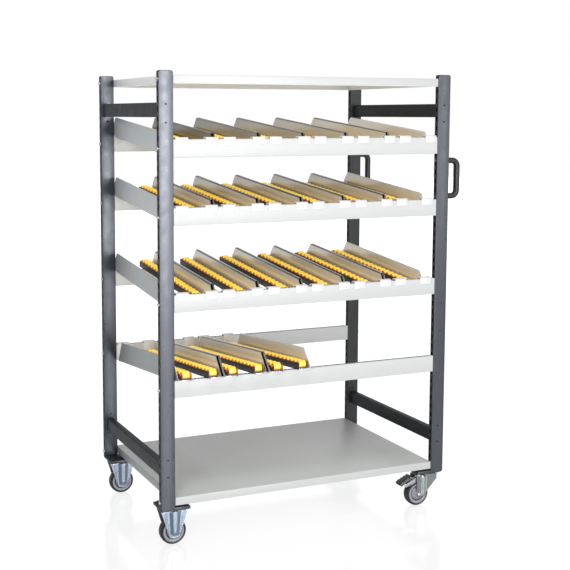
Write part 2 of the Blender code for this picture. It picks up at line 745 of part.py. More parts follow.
def swivel_fork(name, x, y):
    # local zero lies on the swivel axis at the height of the axle
    crown_top = CASTER_TOP - AXLE_HEIGHT - CASTER_PLATE_THICKNESS - RACE_HEIGHT - SEAT_GAP
    width = 2 * (LEG_INNER_Y + LEG_SHEET)
    crown_x = -(SWIVEL_TRAIL + FORK_FOOT_RADIUS) + CROWN_LENGTH / 2
    crown = box(name, (CROWN_LENGTH - 2 * SINK, width - 2 * SINK, CROWN_THICKNESS),
                (crown_x, 0.0, crown_top - SINK - CROWN_THICKNESS / 2))
    back = crown_x - CROWN_LENGTH / 2
    front = crown_x + CROWN_LENGTH / 2
    axle_x = -SWIVEL_TRAIL
    shoulder = crown_top - FORK_SHOULDER
    reach = math.hypot(front - axle_x, shoulder)
    angle = math.atan2(front - axle_x, shoulder) + math.asin(FORK_FOOT_RADIUS / reach)
    start = math.pi / 2 - angle
    foot = []
    for step in range(9):
        t = start - (start + math.pi) * step / 8
        foot.append((axle_x + FORK_FOOT_RADIUS * math.cos(t), FORK_FOOT_RADIUS * math.sin(t)))
    sheet = [(back, crown_top), (front, crown_top), (front, shoulder)] + foot
    pieces = []
    pin_x = -PEDAL_PIVOT_REACH
    pin_z = CASTER_TOP - AXLE_HEIGHT - PEDAL_PIVOT_DROP
    for outward in (-1, 1):
        leg_y = outward * (LEG_INNER_Y + LEG_SHEET / 2)
        face_y = outward * (LEG_INNER_Y + LEG_SHEET)
        pieces.append(outline(name + "_leg", [sheet], LEG_SHEET, "along_y", (0.0, leg_y, 0.0)))
        head_y = face_y + outward * (AXLE_HEAD_THICKNESS - SINK) / 2
        pieces.append(cylinder(name + "_head", AXLE_HEAD_DIAMETER, AXLE_HEAD_THICKNESS + SINK, "y",
                               (axle_x, head_y, 0.0)))
    pieces.append(cylinder(name + "_axle", AXLE_DIAMETER, 2 * LEG_INNER_Y + LEG_SHEET, "y",
                           (axle_x, 0.0, 0.0)))
    pieces.append(cylinder(name + "_pin", PEDAL_PIN_DIAMETER, 2 * LEG_INNER_Y + LEG_SHEET, "y",
                           (pin_x, 0.0, pin_z)))
    fuse(crown, *pieces)
    hole = cylinder(name + "_kingpin_hole", KINGPIN_DIAMETER + 2 * RUN_GAP,
                    CROWN_THICKNESS + 2 * OVERRUN, "z", (0.0, 0.0, crown_top - CROWN_THICKNESS / 2))
    carve(crown, hole)
    return finish(crown, zinc, (x, y, AXLE_HEIGHT))


def brake_pedal(name, x, y):
    # local zero on the pedal's pin, the arched tread reaching towards -X
    half_boss = PEDAL_BOSS_DIAMETER / 2
    start_x = -half_boss / 2
    fall = (PEDAL_BROW_RISE - PEDAL_TIP_RISE) / (PEDAL_LENGTH - PEDAL_BROW)

    def tread(reach):
        return -reach, PEDAL_BROW_RISE - max(reach - PEDAL_BROW, 0.0) * fall

    top = [(start_x, half_boss - SINK), tread(PEDAL_BROW)]
    for index in range(PEDAL_RIB_COUNT):
        near = PEDAL_BROW + index * PEDAL_RIB_PITCH
        foot = tread(near)
        crest = tread(near + PEDAL_RIB_WIDTH)
        top += [(foot[0], foot[1] + PEDAL_RIB_HEIGHT), (crest[0], crest[1] + PEDAL_RIB_HEIGHT), crest]
    top.append(tread(PEDAL_LENGTH))
    under = [(-PEDAL_LENGTH, PEDAL_TIP_RISE - PEDAL_THICKNESS),
             (-PEDAL_BROW, PEDAL_BROW_RISE - PEDAL_THICKNESS), (start_x, half_boss - SINK - PEDAL_THICKNESS)]
    lever = outline(name, [top + under], PEDAL_WIDTH, "along_y")
    strip_top = -half_boss / 2
    strip = [(start_x, strip_top), (-BRAKE_STRIP_LENGTH, -BRAKE_STRIP_DROP),
             (-BRAKE_STRIP_LENGTH, -BRAKE_STRIP_DROP - BRAKE_STRIP_THICKNESS),
             (start_x, strip_top - BRAKE_STRIP_THICKNESS)]
    width = PEDAL_WIDTH - 2 * SINK
    boss = cylinder(name + "_boss", PEDAL_BOSS_DIAMETER, width, "y", (0.0, 0.0, 0.0))
    fuse(lever, boss, outline(name + "_strip", [strip], width - 2 * SINK, "along_y"))
    bore = cylinder(name + "_bore", PEDAL_PIN_DIAMETER + 2 * RUN_GAP, PEDAL_WIDTH + 2 * OVERRUN, "y",
                    (0.0, 0.0, 0.0))
    carve(lever, bore)
    return finish(lever, black_plastic, (x, y, CASTER_TOP - PEDAL_PIVOT_DROP))


for end, end_name in ((-1, "front"), (1, "rear")):
    y = end * CASTER_Y
    fixed_fork("fixed_fork_" + end_name, -CASTER_X, y)
    wheel("fixed_wheel_" + end_name, (-CASTER_X, y, AXLE_HEIGHT))
    swivel_head("swivel_head_" + end_name, CASTER_X, y)
    swivel_fork("swivel_fork_" + end_name, CASTER_X, y)
    wheel("swivel_wheel_" + end_name, (CASTER_X - SWIVEL_TRAIL, y, AXLE_HEIGHT))
    brake_pedal("brake_pedal_" + end_name, CASTER_X - PEDAL_PIVOT_REACH, y)
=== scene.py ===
import math

import bmesh
import bpy
from mathutils import Matrix, Vector


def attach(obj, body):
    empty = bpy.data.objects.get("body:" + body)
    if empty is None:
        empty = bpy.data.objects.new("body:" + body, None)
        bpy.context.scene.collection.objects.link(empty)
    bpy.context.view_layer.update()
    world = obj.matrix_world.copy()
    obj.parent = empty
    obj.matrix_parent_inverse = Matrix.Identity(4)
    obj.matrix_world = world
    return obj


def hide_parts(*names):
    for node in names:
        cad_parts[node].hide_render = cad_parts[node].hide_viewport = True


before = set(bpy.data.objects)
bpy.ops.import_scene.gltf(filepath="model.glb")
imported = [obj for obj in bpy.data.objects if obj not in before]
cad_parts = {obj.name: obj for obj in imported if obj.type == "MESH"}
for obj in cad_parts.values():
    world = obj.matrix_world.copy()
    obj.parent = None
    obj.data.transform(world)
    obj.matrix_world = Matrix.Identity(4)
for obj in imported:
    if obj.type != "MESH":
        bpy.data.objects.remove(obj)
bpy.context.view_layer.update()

# Everything is drawn in millimetres round the middle of the rack, Z from the floor,
# and finishPiece brings it into the frame, in metres.
rack = {"shiftX": -24.25, "width": 1200.0, "depth": 716.0, "footHeight": 140.0,
        "firstSlot": 32.0, "slotPitch": 34.5, "slotCount": 45, "clearWidth": 1089.4, "seat": 0.3}
levels = [{"slot": 37, "lanes": 6, "clear": 166.8, "back": False},
          {"slot": 30, "lanes": 6, "clear": 164.8, "back": False},
          {"slot": 21, "lanes": 6, "clear": 164.8, "back": False},
          {"slot": 12, "lanes": 3, "clear": 164.8, "back": True}]
fall = math.radians(5.1)
endNames = {-1: "front", 1: "rear"}
sideNames = {-1: "left", 1: "right"}


def slotHeight(index):
    return rack["footHeight"] + rack["firstSlot"] + index * rack["slotPitch"]


# Helpers for meshes

def newObject(name, data):
    made = bpy.data.objects.new(name, data)
    bpy.context.scene.collection.objects.link(made)
    return made


def removeObjects(*objects):
    for obj in objects:
        bpy.data.objects.remove(obj, do_unlink=True)


def toMesh(name, bm):
    mesh = bpy.data.meshes.new(name)
    bm.to_mesh(mesh)
    bm.free()
    return mesh


def evaluatedMesh(obj):
    bpy.context.view_layer.update()
    graph = bpy.context.evaluated_depsgraph_get()
    return bpy.data.meshes.new_from_object(obj.evaluated_get(graph))


def cleaned(mesh, distance=0.01):
    bm = bmesh.new()
    bm.from_mesh(mesh)
    bmesh.ops.remove_doubles(bm, verts=bm.verts, dist=distance)
    bmesh.ops.recalc_face_normals(bm, faces=bm.faces)
    bm.to_mesh(mesh)
    bm.free()
    return mesh


def walled(bm, thickness, offset, distance=0.01):
    # a bare surface given the thickness of its sheet
    sheet = newObject("sheet", toMesh("sheet", bm))
    wall = sheet.modifiers.new("wall", "SOLIDIFY")
    wall.thickness, wall.offset = thickness, offset
    mesh = cleaned(evaluatedMesh(sheet), distance)
    removeObjects(sheet)
    return mesh


def rectangle(halfWidth, halfHeight):
    return [(-halfWidth, -halfHeight), (halfWidth, -halfHeight), (halfWidth, halfHeight),
            (-halfWidth, halfHeight)]


def mirrored(side):
    # a profile from its upper half, with the same points below it first
    return [(a, -b) for a, b in side] + side[::-1]


def roundedPath(points, radii, steps=4, closed=True):
    # corners drawn as arcs; a radius of nothing keeps the corner sharp
    count = len(points)
    if not isinstance(radii, (list, tuple)):
        radii = [radii] * count
    made = []
    for index, (x, y) in enumerate(points):
        radius = radii[index]
        if radius == 0 or (not closed and index in (0, count - 1)):
            made.append((x, y))
            continue
        before, after = points[index - 1], points[(index + 1) % count]
        toBefore = math.atan2(before[1] - y, before[0] - x)
        toAfter = math.atan2(after[1] - y, after[0] - x)
        opening = (toAfter - toBefore + math.pi) % (2 * math.pi) - math.pi
        reach = radius / abs(math.sin(opening / 2))
        middle = toBefore + opening / 2
        cx, cy = x + reach * math.cos(middle), y + reach * math.sin(middle)
        start = toBefore - math.copysign(math.pi / 2, opening)
        sweep = opening - math.copysign(math.pi, opening)
        for step in range(steps + 1):
            angle = start + sweep * step / steps
            made.append((cx + radius * math.cos(angle), cy + radius * math.sin(angle)))
    return made


def thickened(path, thickness):
    # closed outline of a sheet whose middle follows an open path
    left, right = [], []
    for index, point in enumerate(path):
        here = Vector(point)
        before = Vector(path[index - 1]) if index else None
        after = Vector(path[index + 1]) if index < len(path) - 1 else None
        a = (here - before).normalized() if before is not None else (after - here).normalized()
        b = (after - here).normalized() if after is not None else a
        normal = Vector((-(a + b).y, (a + b).x)).normalized()
        stretch = 1 / max(normal.dot(Vector((-a.y, a.x))), 0.3)
        left.append(tuple(here + normal * stretch * thickness / 2))
        right.append(tuple(here - normal * stretch * thickness / 2))
    return left + right[::-1]


# planes turn a flat outline, and turns a shape that stands along Z
planes = {"side": Matrix(((0, 0, 1, 0), (1, 0, 0, 0), (0, 1, 0, 0), (0, 0, 0, 1))),
          "front": Matrix(((1, 0, 0, 0), (0, 0, -1, 0), (0, 1, 0, 0), (0, 0, 0, 1))),
          "flat": Matrix.Identity(4)}
turns = {"x": Matrix.Rotation(math.pi / 2, 4, "Y"), "-x": Matrix.Rotation(-math.pi / 2, 4, "Y"),
         "y": Matrix.Rotation(-math.pi / 2, 4, "X"), "-y": Matrix.Rotation(math.pi / 2, 4, "X"),
         "z": Matrix.Identity(4), "-z": Matrix.Rotation(math.pi, 4, "X")}


def plateMesh(loops, thickness, plane, centre=(0, 0, 0), bevel=0.0, bevelSteps=2):
    # a flat outline with holes, given a thickness and, if asked, rounded edges
    curve = bpy.data.curves.new("outline", "CURVE")
    curve.dimensions = "2D"
    curve.fill_mode = "BOTH"
    curve.extrude = thickness / 2 - bevel
    curve.bevel_depth = bevel
    curve.bevel_resolution = bevelSteps
    curve.offset = -bevel
    for loop in loops:
        spline = curve.splines.new("POLY")
        spline.points.add(len(loop) - 1)
        for point, (x, y) in zip(spline.points, loop):
            point.co = (x, y, 0.0, 1.0)
        spline.use_cyclic_u = True
    drawn = newObject("outline", curve)
    mesh = cleaned(evaluatedMesh(drawn))
    removeObjects(drawn)
    bpy.data.curves.remove(curve)
    mesh.transform(Matrix.Translation(centre) @ planes[plane])
    return mesh


def boxMesh(first, last, bevel=0.0):
    # a box between two opposite corners
    bm = bmesh.new()
    bmesh.ops.create_cube(bm, size=1.0)
    bmesh.ops.scale(bm, vec=[abs(b - a) for a, b in zip(first, last)], verts=bm.verts)
    bmesh.ops.translate(bm, vec=[(a + b) / 2 for a, b in zip(first, last)], verts=bm.verts)
    if bevel:
        bmesh.ops.bevel(bm, geom=bm.edges[:], offset=bevel, segments=2, profile=0.5,
                        affect="EDGES")
    return toMesh("box", bm)


def turnedMesh(profile, steps, axis="z", closed=False):
    # radius and height pairs turned about Z, then laid along the axis that is asked for
    bm = bmesh.new()
    rings = []
    for radius, height in profile:
        if radius < 1e-6:
            rings.append([bm.verts.new((0, 0, height))])
            continue
        angles = [2 * math.pi * s / steps for s in range(steps)]
        rings.append([bm.verts.new((radius * math.cos(a), radius * math.sin(a), height))
                      for a in angles])
    for low, high in zip(rings, rings[1:] + (rings[:1] if closed else [])):
        for s in range(steps):
            n = (s + 1) % steps
            corners = (low[s % len(low)], low[n % len(low)], high[n % len(high)], high[s % len(high)])
            unique = list(dict.fromkeys(corners))
            if len(unique) > 2:
                bm.faces.new(unique)
    bmesh.ops.recalc_face_normals(bm, faces=bm.faces)
    mesh = toMesh("turned", bm)
    mesh.transform(turns[axis])
    return mesh


def moved(mesh, matrix):
    twin = mesh.copy()
    twin.transform(matrix)
    return twin


def shifted(mesh, x=0.0, y=0.0, z=0.0):
    return moved(mesh, Matrix.Translation((x, y, z)))


def placed(parts, matrix):
    return [(moved(mesh, matrix), finish) for mesh, finish in parts]


def cut(mesh, *tools, operation="DIFFERENCE"):
    body = newObject("cutBody", mesh)
    tooling = [newObject("cutTool", tool) for tool in tools]
    for cutter in tooling:
        step = body.modifiers.new("cut", "BOOLEAN")
        step.operation = operation
        step.object = cutter
        step.solver = "EXACT"
    made = evaluatedMesh(body)
    removeObjects(body, *tooling)
    return made


def joined(*meshes):
    bm = bmesh.new()
    for mesh in meshes:
        bm.from_mesh(mesh)
    return toMesh("joined", bm)


def finishPiece(name, parts, replaces=(), body="rack", smooth=35):
    # parts are pairs of mesh and material, or of mesh and a function that picks one for a face
    bm = bmesh.new()
    mats = []
    for mesh, choice in parts:
        start = len(bm.faces)
        bm.from_mesh(mesh)
        bm.faces.ensure_lookup_table()
        for face in bm.faces[start:]:
            mat = choice(face) if callable(choice) else choice
            if mat not in mats:
                mats.append(mat)
            face.material_index = mats.index(mat)
    mesh = toMesh(name, bm)
    mesh.transform(Matrix.Scale(0.001, 4) @ Matrix.Translation((rack["shiftX"], 0, 0)))
    for mat in mats:
        mesh.materials.append(mat)
    mesh.shade_smooth()
    mesh.set_sharp_from_angle(angle=math.radians(smooth))
    piece = newObject(name, mesh)
    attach(piece, body)
    if replaces:
        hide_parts(*replaces)
    return piece


# Helpers for nodes

def feed(tree, node, inputs):
    # an input is linked where it is given a socket, and set where it is given a value
    for key, value in inputs.items():
        if isinstance(value, bpy.types.NodeSocket):
            tree.links.new(value, node.inputs[key])
        else:
            node.inputs[key].default_value = value
    return node


def addNode(tree, kind, inputs={}, **settings):
    made = tree.nodes.new(kind)
    for key, value in settings.items():
        setattr(made, key, value)
    return feed(tree, made, inputs)


def newTree(name, kind, inputs, outputs):
    # an empty node group with the sockets that are named
    tree = bpy.data.node_groups.new(name, kind + "NodeTree")
    for way, sockets in (("INPUT", inputs), ("OUTPUT", outputs)):
        for label, socket in sockets.items():
            tree.interface.new_socket(name=label, in_out=way, socket_type="NodeSocket" + socket)
    return tree, tree.nodes.new("NodeGroupInput").outputs, tree.nodes.new("NodeGroupOutput")


def maths(tree, kind, *values):
    return addNode(tree, "ShaderNodeMath", dict(enumerate(values)), operation=kind).outputs[0]


def mixed(tree, share, first, second, kind="RGBA"):
    # a Mix node holds its colours on sockets 6 and 7 and its plain numbers on 2 and 3
    a, b, out = (6, 7, 2) if kind == "RGBA" else (2, 3, 0)
    return addNode(tree, "ShaderNodeMix", {"Factor": share, a: first, b: second},
                   data_type=kind).outputs[out]


def ranged(tree, value, low, high, way="LINEAR"):
    return addNode(tree, "ShaderNodeMapRange", {"From Min": low, "From Max": high, "Value": value},
                   interpolation_type=way).outputs["Result"]


def coordinates(tree, name):
    # one output of Texture Coordinate, split into X, Y and Z
    place = tree.nodes.new("ShaderNodeTexCoord")
    return addNode(tree, "ShaderNodeSeparateXYZ", {"Vector": place.outputs[name]}).outputs


# Geometry Nodes: a shape set out in a straight row

def buildRowTree():
    tree, given, result = newTree("evenRow", "Geometry",
                                  {"shape": "Object", "count": "Int", "start": "Vector",
                                   "step": "Vector", "finish": "Material"}, {"row": "Geometry"})
    line = addNode(tree, "GeometryNodeMeshLine",
                   {"Count": given["count"], "Start Location": given["start"],
                    "Offset": given["step"]}, mode="OFFSET")
    source = addNode(tree, "GeometryNodeObjectInfo", {"Object": given["shape"]})
    spread = addNode(tree, "GeometryNodeInstanceOnPoints",
                     {"Points": line.outputs["Mesh"], "Instance": source.outputs["Geometry"]})
    solid = addNode(tree, "GeometryNodeRealizeInstances", {"Geometry": spread.outputs["Instances"]})
    paint = addNode(tree, "GeometryNodeSetMaterial",
                    {"Geometry": solid.outputs["Geometry"], "Material": given["finish"]})
    feed(tree, result, {"row": paint.outputs["Geometry"]})
    return tree


rowTree = buildRowTree()
rowSockets = {item.name: item.identifier for item in rowTree.interface.items_tree
              if item.in_out == "INPUT"}


def rowOf(shape, count, start, step, finish):
    holder = newObject("rowHolder", bpy.data.meshes.new("rowHolder"))
    template = newObject("rowShape", shape)
    row = holder.modifiers.new("row", "NODES")
    row.node_group = rowTree
    for name, value in (("shape", template), ("count", count), ("start", start), ("step", step),
                        ("finish", finish)):
        row[rowSockets[name]] = value
    holder.update_tag()
    mesh = evaluatedMesh(holder)
    removeObjects(holder, template)
    return mesh


# Shader groups, all over Object coordinates but for the painted sheen, which goes by a face's direction;
# the sheen and the guide ramp paint reflection and shade into the colour

def buildGrainGroup():
    # slow colour drift, worn patches, and fine speckle as a bump height
    tree, given, result = newTree("paintGrain", "Shader",
                                  {"colour": "Color", "worn colour": "Color", "grain size": "Float",
                                   "drift": "Float", "scuffs": "Float", "roughness": "Float",
                                   "stretch": "Vector"},
                                  {"colour": "Color", "roughness": "Float", "height": "Float"})
    place = tree.nodes.new("ShaderNodeTexCoord")
    mapping = addNode(tree, "ShaderNodeMapping",
                      {"Vector": place.outputs["Object"], "Scale": given["stretch"]})
    slow, scuff, fine = [addNode(tree, "ShaderNodeTexNoise",
                                 {"Scale": scale, "Detail": detail,
                                  "Vector": mapping.outputs["Vector"]}).outputs[0]
                         for scale, detail in ((5.0, 3), (38.0, 8), (given["grain size"], 2))]
    drift = maths(tree, "MULTIPLY", maths(tree, "SUBTRACT", slow, 0.5), given["drift"])
    tint = addNode(tree, "ShaderNodeVectorMath",
                   {0: given["colour"], "Scale": maths(tree, "ADD", 1.0, drift)}, operation="SCALE")
    amount = maths(tree, "MULTIPLY", ranged(tree, scuff, 0.60, 0.72), given["scuffs"])
    uneven = maths(tree, "MULTIPLY", maths(tree, "SUBTRACT", scuff, 0.5), 0.25)
    feed(tree, result, {"colour": mixed(tree, amount, tint.outputs[0], given["worn colour"]),
                        "roughness": maths(tree, "ADD", given["roughness"], uneven),
                        "height": fine})
    return tree


def buildPaintedSheenGroup():
    # painted reflection on zinc: a tone by facing, with soft steps from the front to the left and to the
    # right
    tree, given, result = newTree("zincPaintedSheen", "Shader",
                                  {"left": "Color", "front": "Color", "right": "Color"},
                                  {"colour": "Color"})
    facing = coordinates(tree, "Normal")["X"]
    colour = given["front"]
    for name, far in (("left", -0.46), ("right", 0.46)):
        share = ranged(tree, facing, far * 0.05, far, "SMOOTHSTEP")
        colour = mixed(tree, share, colour, given[name])
    feed(tree, result, {"colour": colour})
    return tree


def buildPaintedShadeGroup():
    # painted shade and painted reflection on a lane guide: a tone from its foot to its fold, from its
    # low end to its high end, and across
    tree, given, result = newTree("guideTone", "Shader",
                                  {"low colour": "Color", "high colour": "Color",
                                   "level height": "Float", "fall": "Float",
                                   "rise share": "Float", "along share": "Float",
                                   "across share": "Float"}, {"colour": "Color"})
    place = coordinates(tree, "Object")
    above = maths(tree, "SUBTRACT", maths(tree, "SUBTRACT", place["Z"], given["level height"]),
                  maths(tree, "MULTIPLY", place["Y"], given["fall"]))
    shares = [maths(tree, "MULTIPLY", ranged(tree, value, low, high), given[name])
              for value, low, high, name in ((above, 0.0, 0.08, "rise share"),
                                             (place["Y"], -0.3, 0.35, "along share"),
                                             (place["X"], 0.4, -0.5, "across share"))]
    total = maths(tree, "ADD", maths(tree, "ADD", shares[0], shares[1]), shares[2])
    feed(tree, result, {"colour": mixed(tree, total, given["low colour"], given["high colour"])})
    return tree


grainGroup = buildGrainGroup()
paintedSheenGroup = buildPaintedSheenGroup()
paintedShadeGroup = buildPaintedShadeGroup()
constantSockets = {"specular": "Specular IOR Level", "specularTint": "Specular Tint",
                   "glow": "Emission Color", "glowStrength": "Emission Strength"}


def makeMaterial(name, colour, roughness, metallic=0.0, worn=None, grain=500.0, drift=0.10,
                 scuffs=0.25, bump=0.06, stretch=(1, 1, 1), tone=None, **constants):
    # tone is a group and its values, where the colour comes from more than one number
    made = bpy.data.materials.new(name)
    made.use_nodes = True
    tree = made.node_tree
    if tone:
        base = addNode(tree, "ShaderNodeGroup", tone[1], node_tree=tone[0]).outputs["colour"]
    group = addNode(tree, "ShaderNodeGroup",
                    {"colour": base if tone else (*colour, 1),
                     "worn colour": (*(worn or [min(1, c * 1.25) for c in colour]), 1),
                     "grain size": grain, "drift": drift, "scuffs": scuffs, "roughness": roughness,
                     "stretch": stretch}, node_tree=grainGroup).outputs
    lift = addNode(tree, "ShaderNodeBump",
                   {"Strength": bump, "Distance": 0.0004, "Height": group["height"]})
    feed(tree, tree.nodes["Principled BSDF"],
         {"Base Color": group["colour"], "Roughness": group["roughness"],
          "Normal": lift.outputs["Normal"], "Metallic": metallic,
          **{constantSockets[key]: value for key, value in constants.items()}})
    return made


finishes = {
    "frame": makeMaterial(
        "anthraciteCoat", (0.021, 0.024, 0.031), 0.32, grain=700, drift=0.01, scuffs=0.0, bump=0.006,
        specular=0.62, specularTint=(0.86, 0.90, 1.0, 1)),
    # darker, duller copy of the frame paint for the rear right upright: painted shade
    "frameShadedRear": makeMaterial(
        "anthraciteShadedRear", (0.026, 0.030, 0.034), 0.40, grain=700, drift=0.02, scuffs=0.02, bump=0.012,
        specular=0.27),
    # darker, duller copy of the frame paint for narrow faces, foot plate sides and plate bolt heads:
    # painted shade
    "frameShadedSide": makeMaterial(
        "anthraciteShadedSide", (0.030, 0.033, 0.038), 0.5, grain=700, drift=0.02, scuffs=0.03, bump=0.03,
        specular=0.1),
    "shade": makeMaterial("innerShade", (0.006, 0.006, 0.007), 0.8, grain=400, bump=0.05, specular=0.0),
    "rail": makeMaterial(
        "darkRailCoat", (0.021, 0.024, 0.028), 0.48, grain=700, drift=0.03, scuffs=0.04, bump=0.04,
        specular=0.08),
    "white": makeMaterial(
        "whiteCoat", (0.72, 0.735, 0.735), 0.42, grain=700, drift=0.03, worn=(0.70, 0.71, 0.71),
        scuffs=0.1, bump=0.03),
    # the top tray's underside: lighter white with a glow, painted light from below
    "trayUnderGlow": makeMaterial(
        "whiteUndersideGlow", (0.86, 0.87, 0.87), 0.5, grain=700, drift=0.02, scuffs=0.05, bump=0.03,
        glow=(0.86, 0.95, 1.0, 1), glowStrength=0.34),
    "clip": makeMaterial(
        "clipCoat", (0.90, 0.90, 0.91), 0.40, grain=700, drift=0.02, worn=(0.84, 0.84, 0.85),
        scuffs=0.1, bump=0.05),
    # light grey with painted shade: darker towards the rear of the bottom tray, where the levels above
    # shade it
    "grey": makeMaterial(
        "lightGreyCoat", (0.625, 0.645, 0.635), 0.42, grain=700, drift=0.05, worn=(0.58, 0.60, 0.59),
        scuffs=0.12, bump=0.05,
        tone=(paintedShadeGroup, {"low colour": (0.67, 0.69, 0.68, 1), "high colour": (0.45, 0.46, 0.455, 1),
                          "along share": 1.0})),
    # darker grey for the bottom tray's end lips: painted shade
    "greyShadedSide": makeMaterial(
        "lightGreyShadedSide", (0.25, 0.262, 0.27), 0.45, grain=700, drift=0.04, scuffs=0.05, bump=0.03),
    "guide": makeMaterial(
        "galvanisedSheet", (0.50, 0.475, 0.440), 0.38, metallic=0.6, grain=60, drift=0.05, scuffs=0.05,
        bump=0.015, stretch=(30, 1, 30)),
    # dark copy of the guide sheet for the bends of a hood: painted shade
    "guideBendShade": makeMaterial(
        "foldedEdgeShade", (0.13, 0.14, 0.138), 0.34, metallic=0.5, drift=0.05, bump=0.02),
    # bluish zinc with a painted reflection by facing: darkest where it faces left, lightest to the front
    "zinc": makeMaterial(
        "bluishZincPaintedSheen", (0.30, 0.36, 0.42), 0.36, metallic=0.8, grain=120, drift=0.05,
        worn=(0.36, 0.41, 0.46), scuffs=0.0, bump=0.0,
        tone=(paintedSheenGroup, {"left": (0.070, 0.115, 0.175, 1), "front": (0.185, 0.225, 0.27, 1),
                           "right": (0.125, 0.16, 0.195, 1)})),
    # grey zinc with a painted reflection by facing: darkest to the front, lightest where it faces right
    "zincGrey": makeMaterial(
        "greyZincPaintedSheen", (0.30, 0.32, 0.32), 0.36, metallic=0.8, grain=120, drift=0.05,
        worn=(0.36, 0.38, 0.38), scuffs=0.0, bump=0.0,
        tone=(paintedSheenGroup, {"left": (0.19, 0.205, 0.21, 1), "front": (0.14, 0.156, 0.158, 1),
                           "right": (0.42, 0.44, 0.44, 1)})),
    "plateZinc": makeMaterial(
        "darkPlateZinc", (0.075, 0.083, 0.095), 0.40, metallic=0.6, grain=300, drift=0.08, scuffs=0.05,
        bump=0.01),
    "bolt": makeMaterial("boltZinc", (0.36, 0.38, 0.42), 0.22, metallic=1.0, grain=300, bump=0.02),
    "nut": makeMaterial("brightNut", (0.44, 0.42, 0.46), 0.32, metallic=0.9, grain=300, bump=0.02),
    "armZinc": makeMaterial(
        "brakeArmZinc", (0.27, 0.28, 0.31), 0.36, metallic=0.8, grain=120, drift=0.05, bump=0.01),
    "steel": makeMaterial("pinSteel", (0.40, 0.41, 0.43), 0.3, metallic=1.0, grain=300, bump=0.02),
    # yellow rollers with a glow: painted light, so rollers in shade look as bright as lit ones
    "roller": makeMaterial(
        "yellowRollerGlow", (1.0, 0.74, 0.10), 0.34, worn=(1.0, 0.80, 0.18), drift=0.06, scuffs=0.15,
        bump=0.03, glow=(1.0, 0.68, 0.06, 1), glowStrength=0.44),
    # orange for the roller ends: painted shade of the yellow rollers
    "rollerEndShade": makeMaterial(
        "orangeRollerEndShade", (0.90, 0.30, 0.02), 0.45, worn=(0.95, 0.42, 0.05), bump=0.03),
    # orange comb with a glow for the outer side, and a dark red copy for the side by the guide: painted
    # light and painted shade of one comb
    "comb": makeMaterial(
        "orangeCombLitGlow", (1.0, 0.25, 0.01), 0.5, worn=(1.0, 0.34, 0.03), bump=0.05,
        glow=(1.0, 0.22, 0.0, 1), glowStrength=0.16),
    "combShaded": makeMaterial(
        "darkRedCombShaded", (0.13, 0.022, 0.018), 0.5, worn=(0.18, 0.04, 0.03), bump=0.05),
    "cradle": makeMaterial("brownCradle", (0.085, 0.020, 0.012), 0.5, bump=0.05),
    "trackSide": makeMaterial("blackTrackSide", (0.020, 0.021, 0.020), 0.5, specular=0.25),
    "tread": makeMaterial(
        "glossyTread", (0.010, 0.010, 0.010), 0.20, grain=450, bump=0.04, specular=0.9),
    "plastic": makeMaterial(
        "blackPlastic", (0.008, 0.008, 0.009), 0.40, grain=450, bump=0.10, specular=0.3),
    "tyre": makeMaterial(
        "darkTyre", (0.012, 0.012, 0.013), 0.5, grain=350, drift=0.3, worn=(0.03, 0.03, 0.03),
        bump=0.08, specular=0.3),
    "hub": makeMaterial("greyHub", (0.36, 0.36, 0.43), 0.4, bump=0.03),
    # dark ring in the hub's groove: painted shade
    "hubGrooveShade": makeMaterial("darkHubGrooveShade", (0.060, 0.060, 0.075), 0.5, bump=0.03),
    "hubDisc": makeMaterial("greyHubDisc", (0.32, 0.32, 0.38), 0.4, bump=0.03)}

# the guides and end plates of each level carry painted shade and painted reflection: tones, what share
# of the way each direction takes from the low tone to the high one, and how light the end plates are,
# lower levels darker as painted shade
levelPaintedShades = [{"low": (0.86, 0.84, 0.81), "high": (0.06, 0.06, 0.058), "shares": (0.15, 0.20, 0.70),
               "plate": 0.46},
              {"low": (0.96, 0.94, 0.91), "high": (0.34, 0.34, 0.33), "shares": (0.20, 0.55, 0.10),
               "plate": 0.45},
              {"low": (0.98, 0.97, 0.95), "high": (0.42, 0.42, 0.41), "shares": (0.25, 0.50, 0.05),
               "plate": 0.35},
              {"low": (0.92, 0.90, 0.87), "high": (0.36, 0.355, 0.34), "shares": (0.25, 0.45, 0.0),
               "plate": 0.26}]
for number, (tone, level) in enumerate(zip(levelPaintedShades, levels), start=1):
    values = {"low colour": (*tone["low"], 1), "high colour": (*tone["high"], 1),
              "level height": slotHeight(level["slot"]) / 1000 + 0.004,
              "fall": math.tan(fall) * (-1 if level["back"] else 1),
              **dict(zip(("rise share", "along share", "across share"), tone["shares"]))}
    finishes["guide_%d" % number] = makeMaterial(
        "galvanisedSheet_%d" % number, (0.5, 0.5, 0.5), 0.22, metallic=0.28, grain=60, drift=0.05,
        scuffs=0.05, bump=0.015, stretch=(30, 1, 30), tone=(paintedShadeGroup, values))
    light = tone["plate"]
    finishes["plate_%d" % number] = makeMaterial(
        "endPlate_%d" % number, (light * 0.94, light, light * 1.02), 0.45, metallic=0.2, drift=0.05,
        bump=0.03)
print("materials ready:", len(finishes))


# Small fasteners

def hexHead(across, height, washer, washerHeight):
    # chamfered hexagon on a round washer, standing up along Z from nothing
    radius = across / 2 / math.cos(math.pi / 6)
    foot, top = washerHeight - 0.2, washerHeight + height
    head = turnedMesh([(0, foot), (radius, foot), (radius, washerHeight + height * 0.72),
                       (across / 2 * 0.9, top), (0, top)], 6)
    ring = turnedMesh([(0, 0), (washer / 2, 0), (washer / 2, washerHeight), (0, washerHeight)], 24)
    return joined(head, ring)


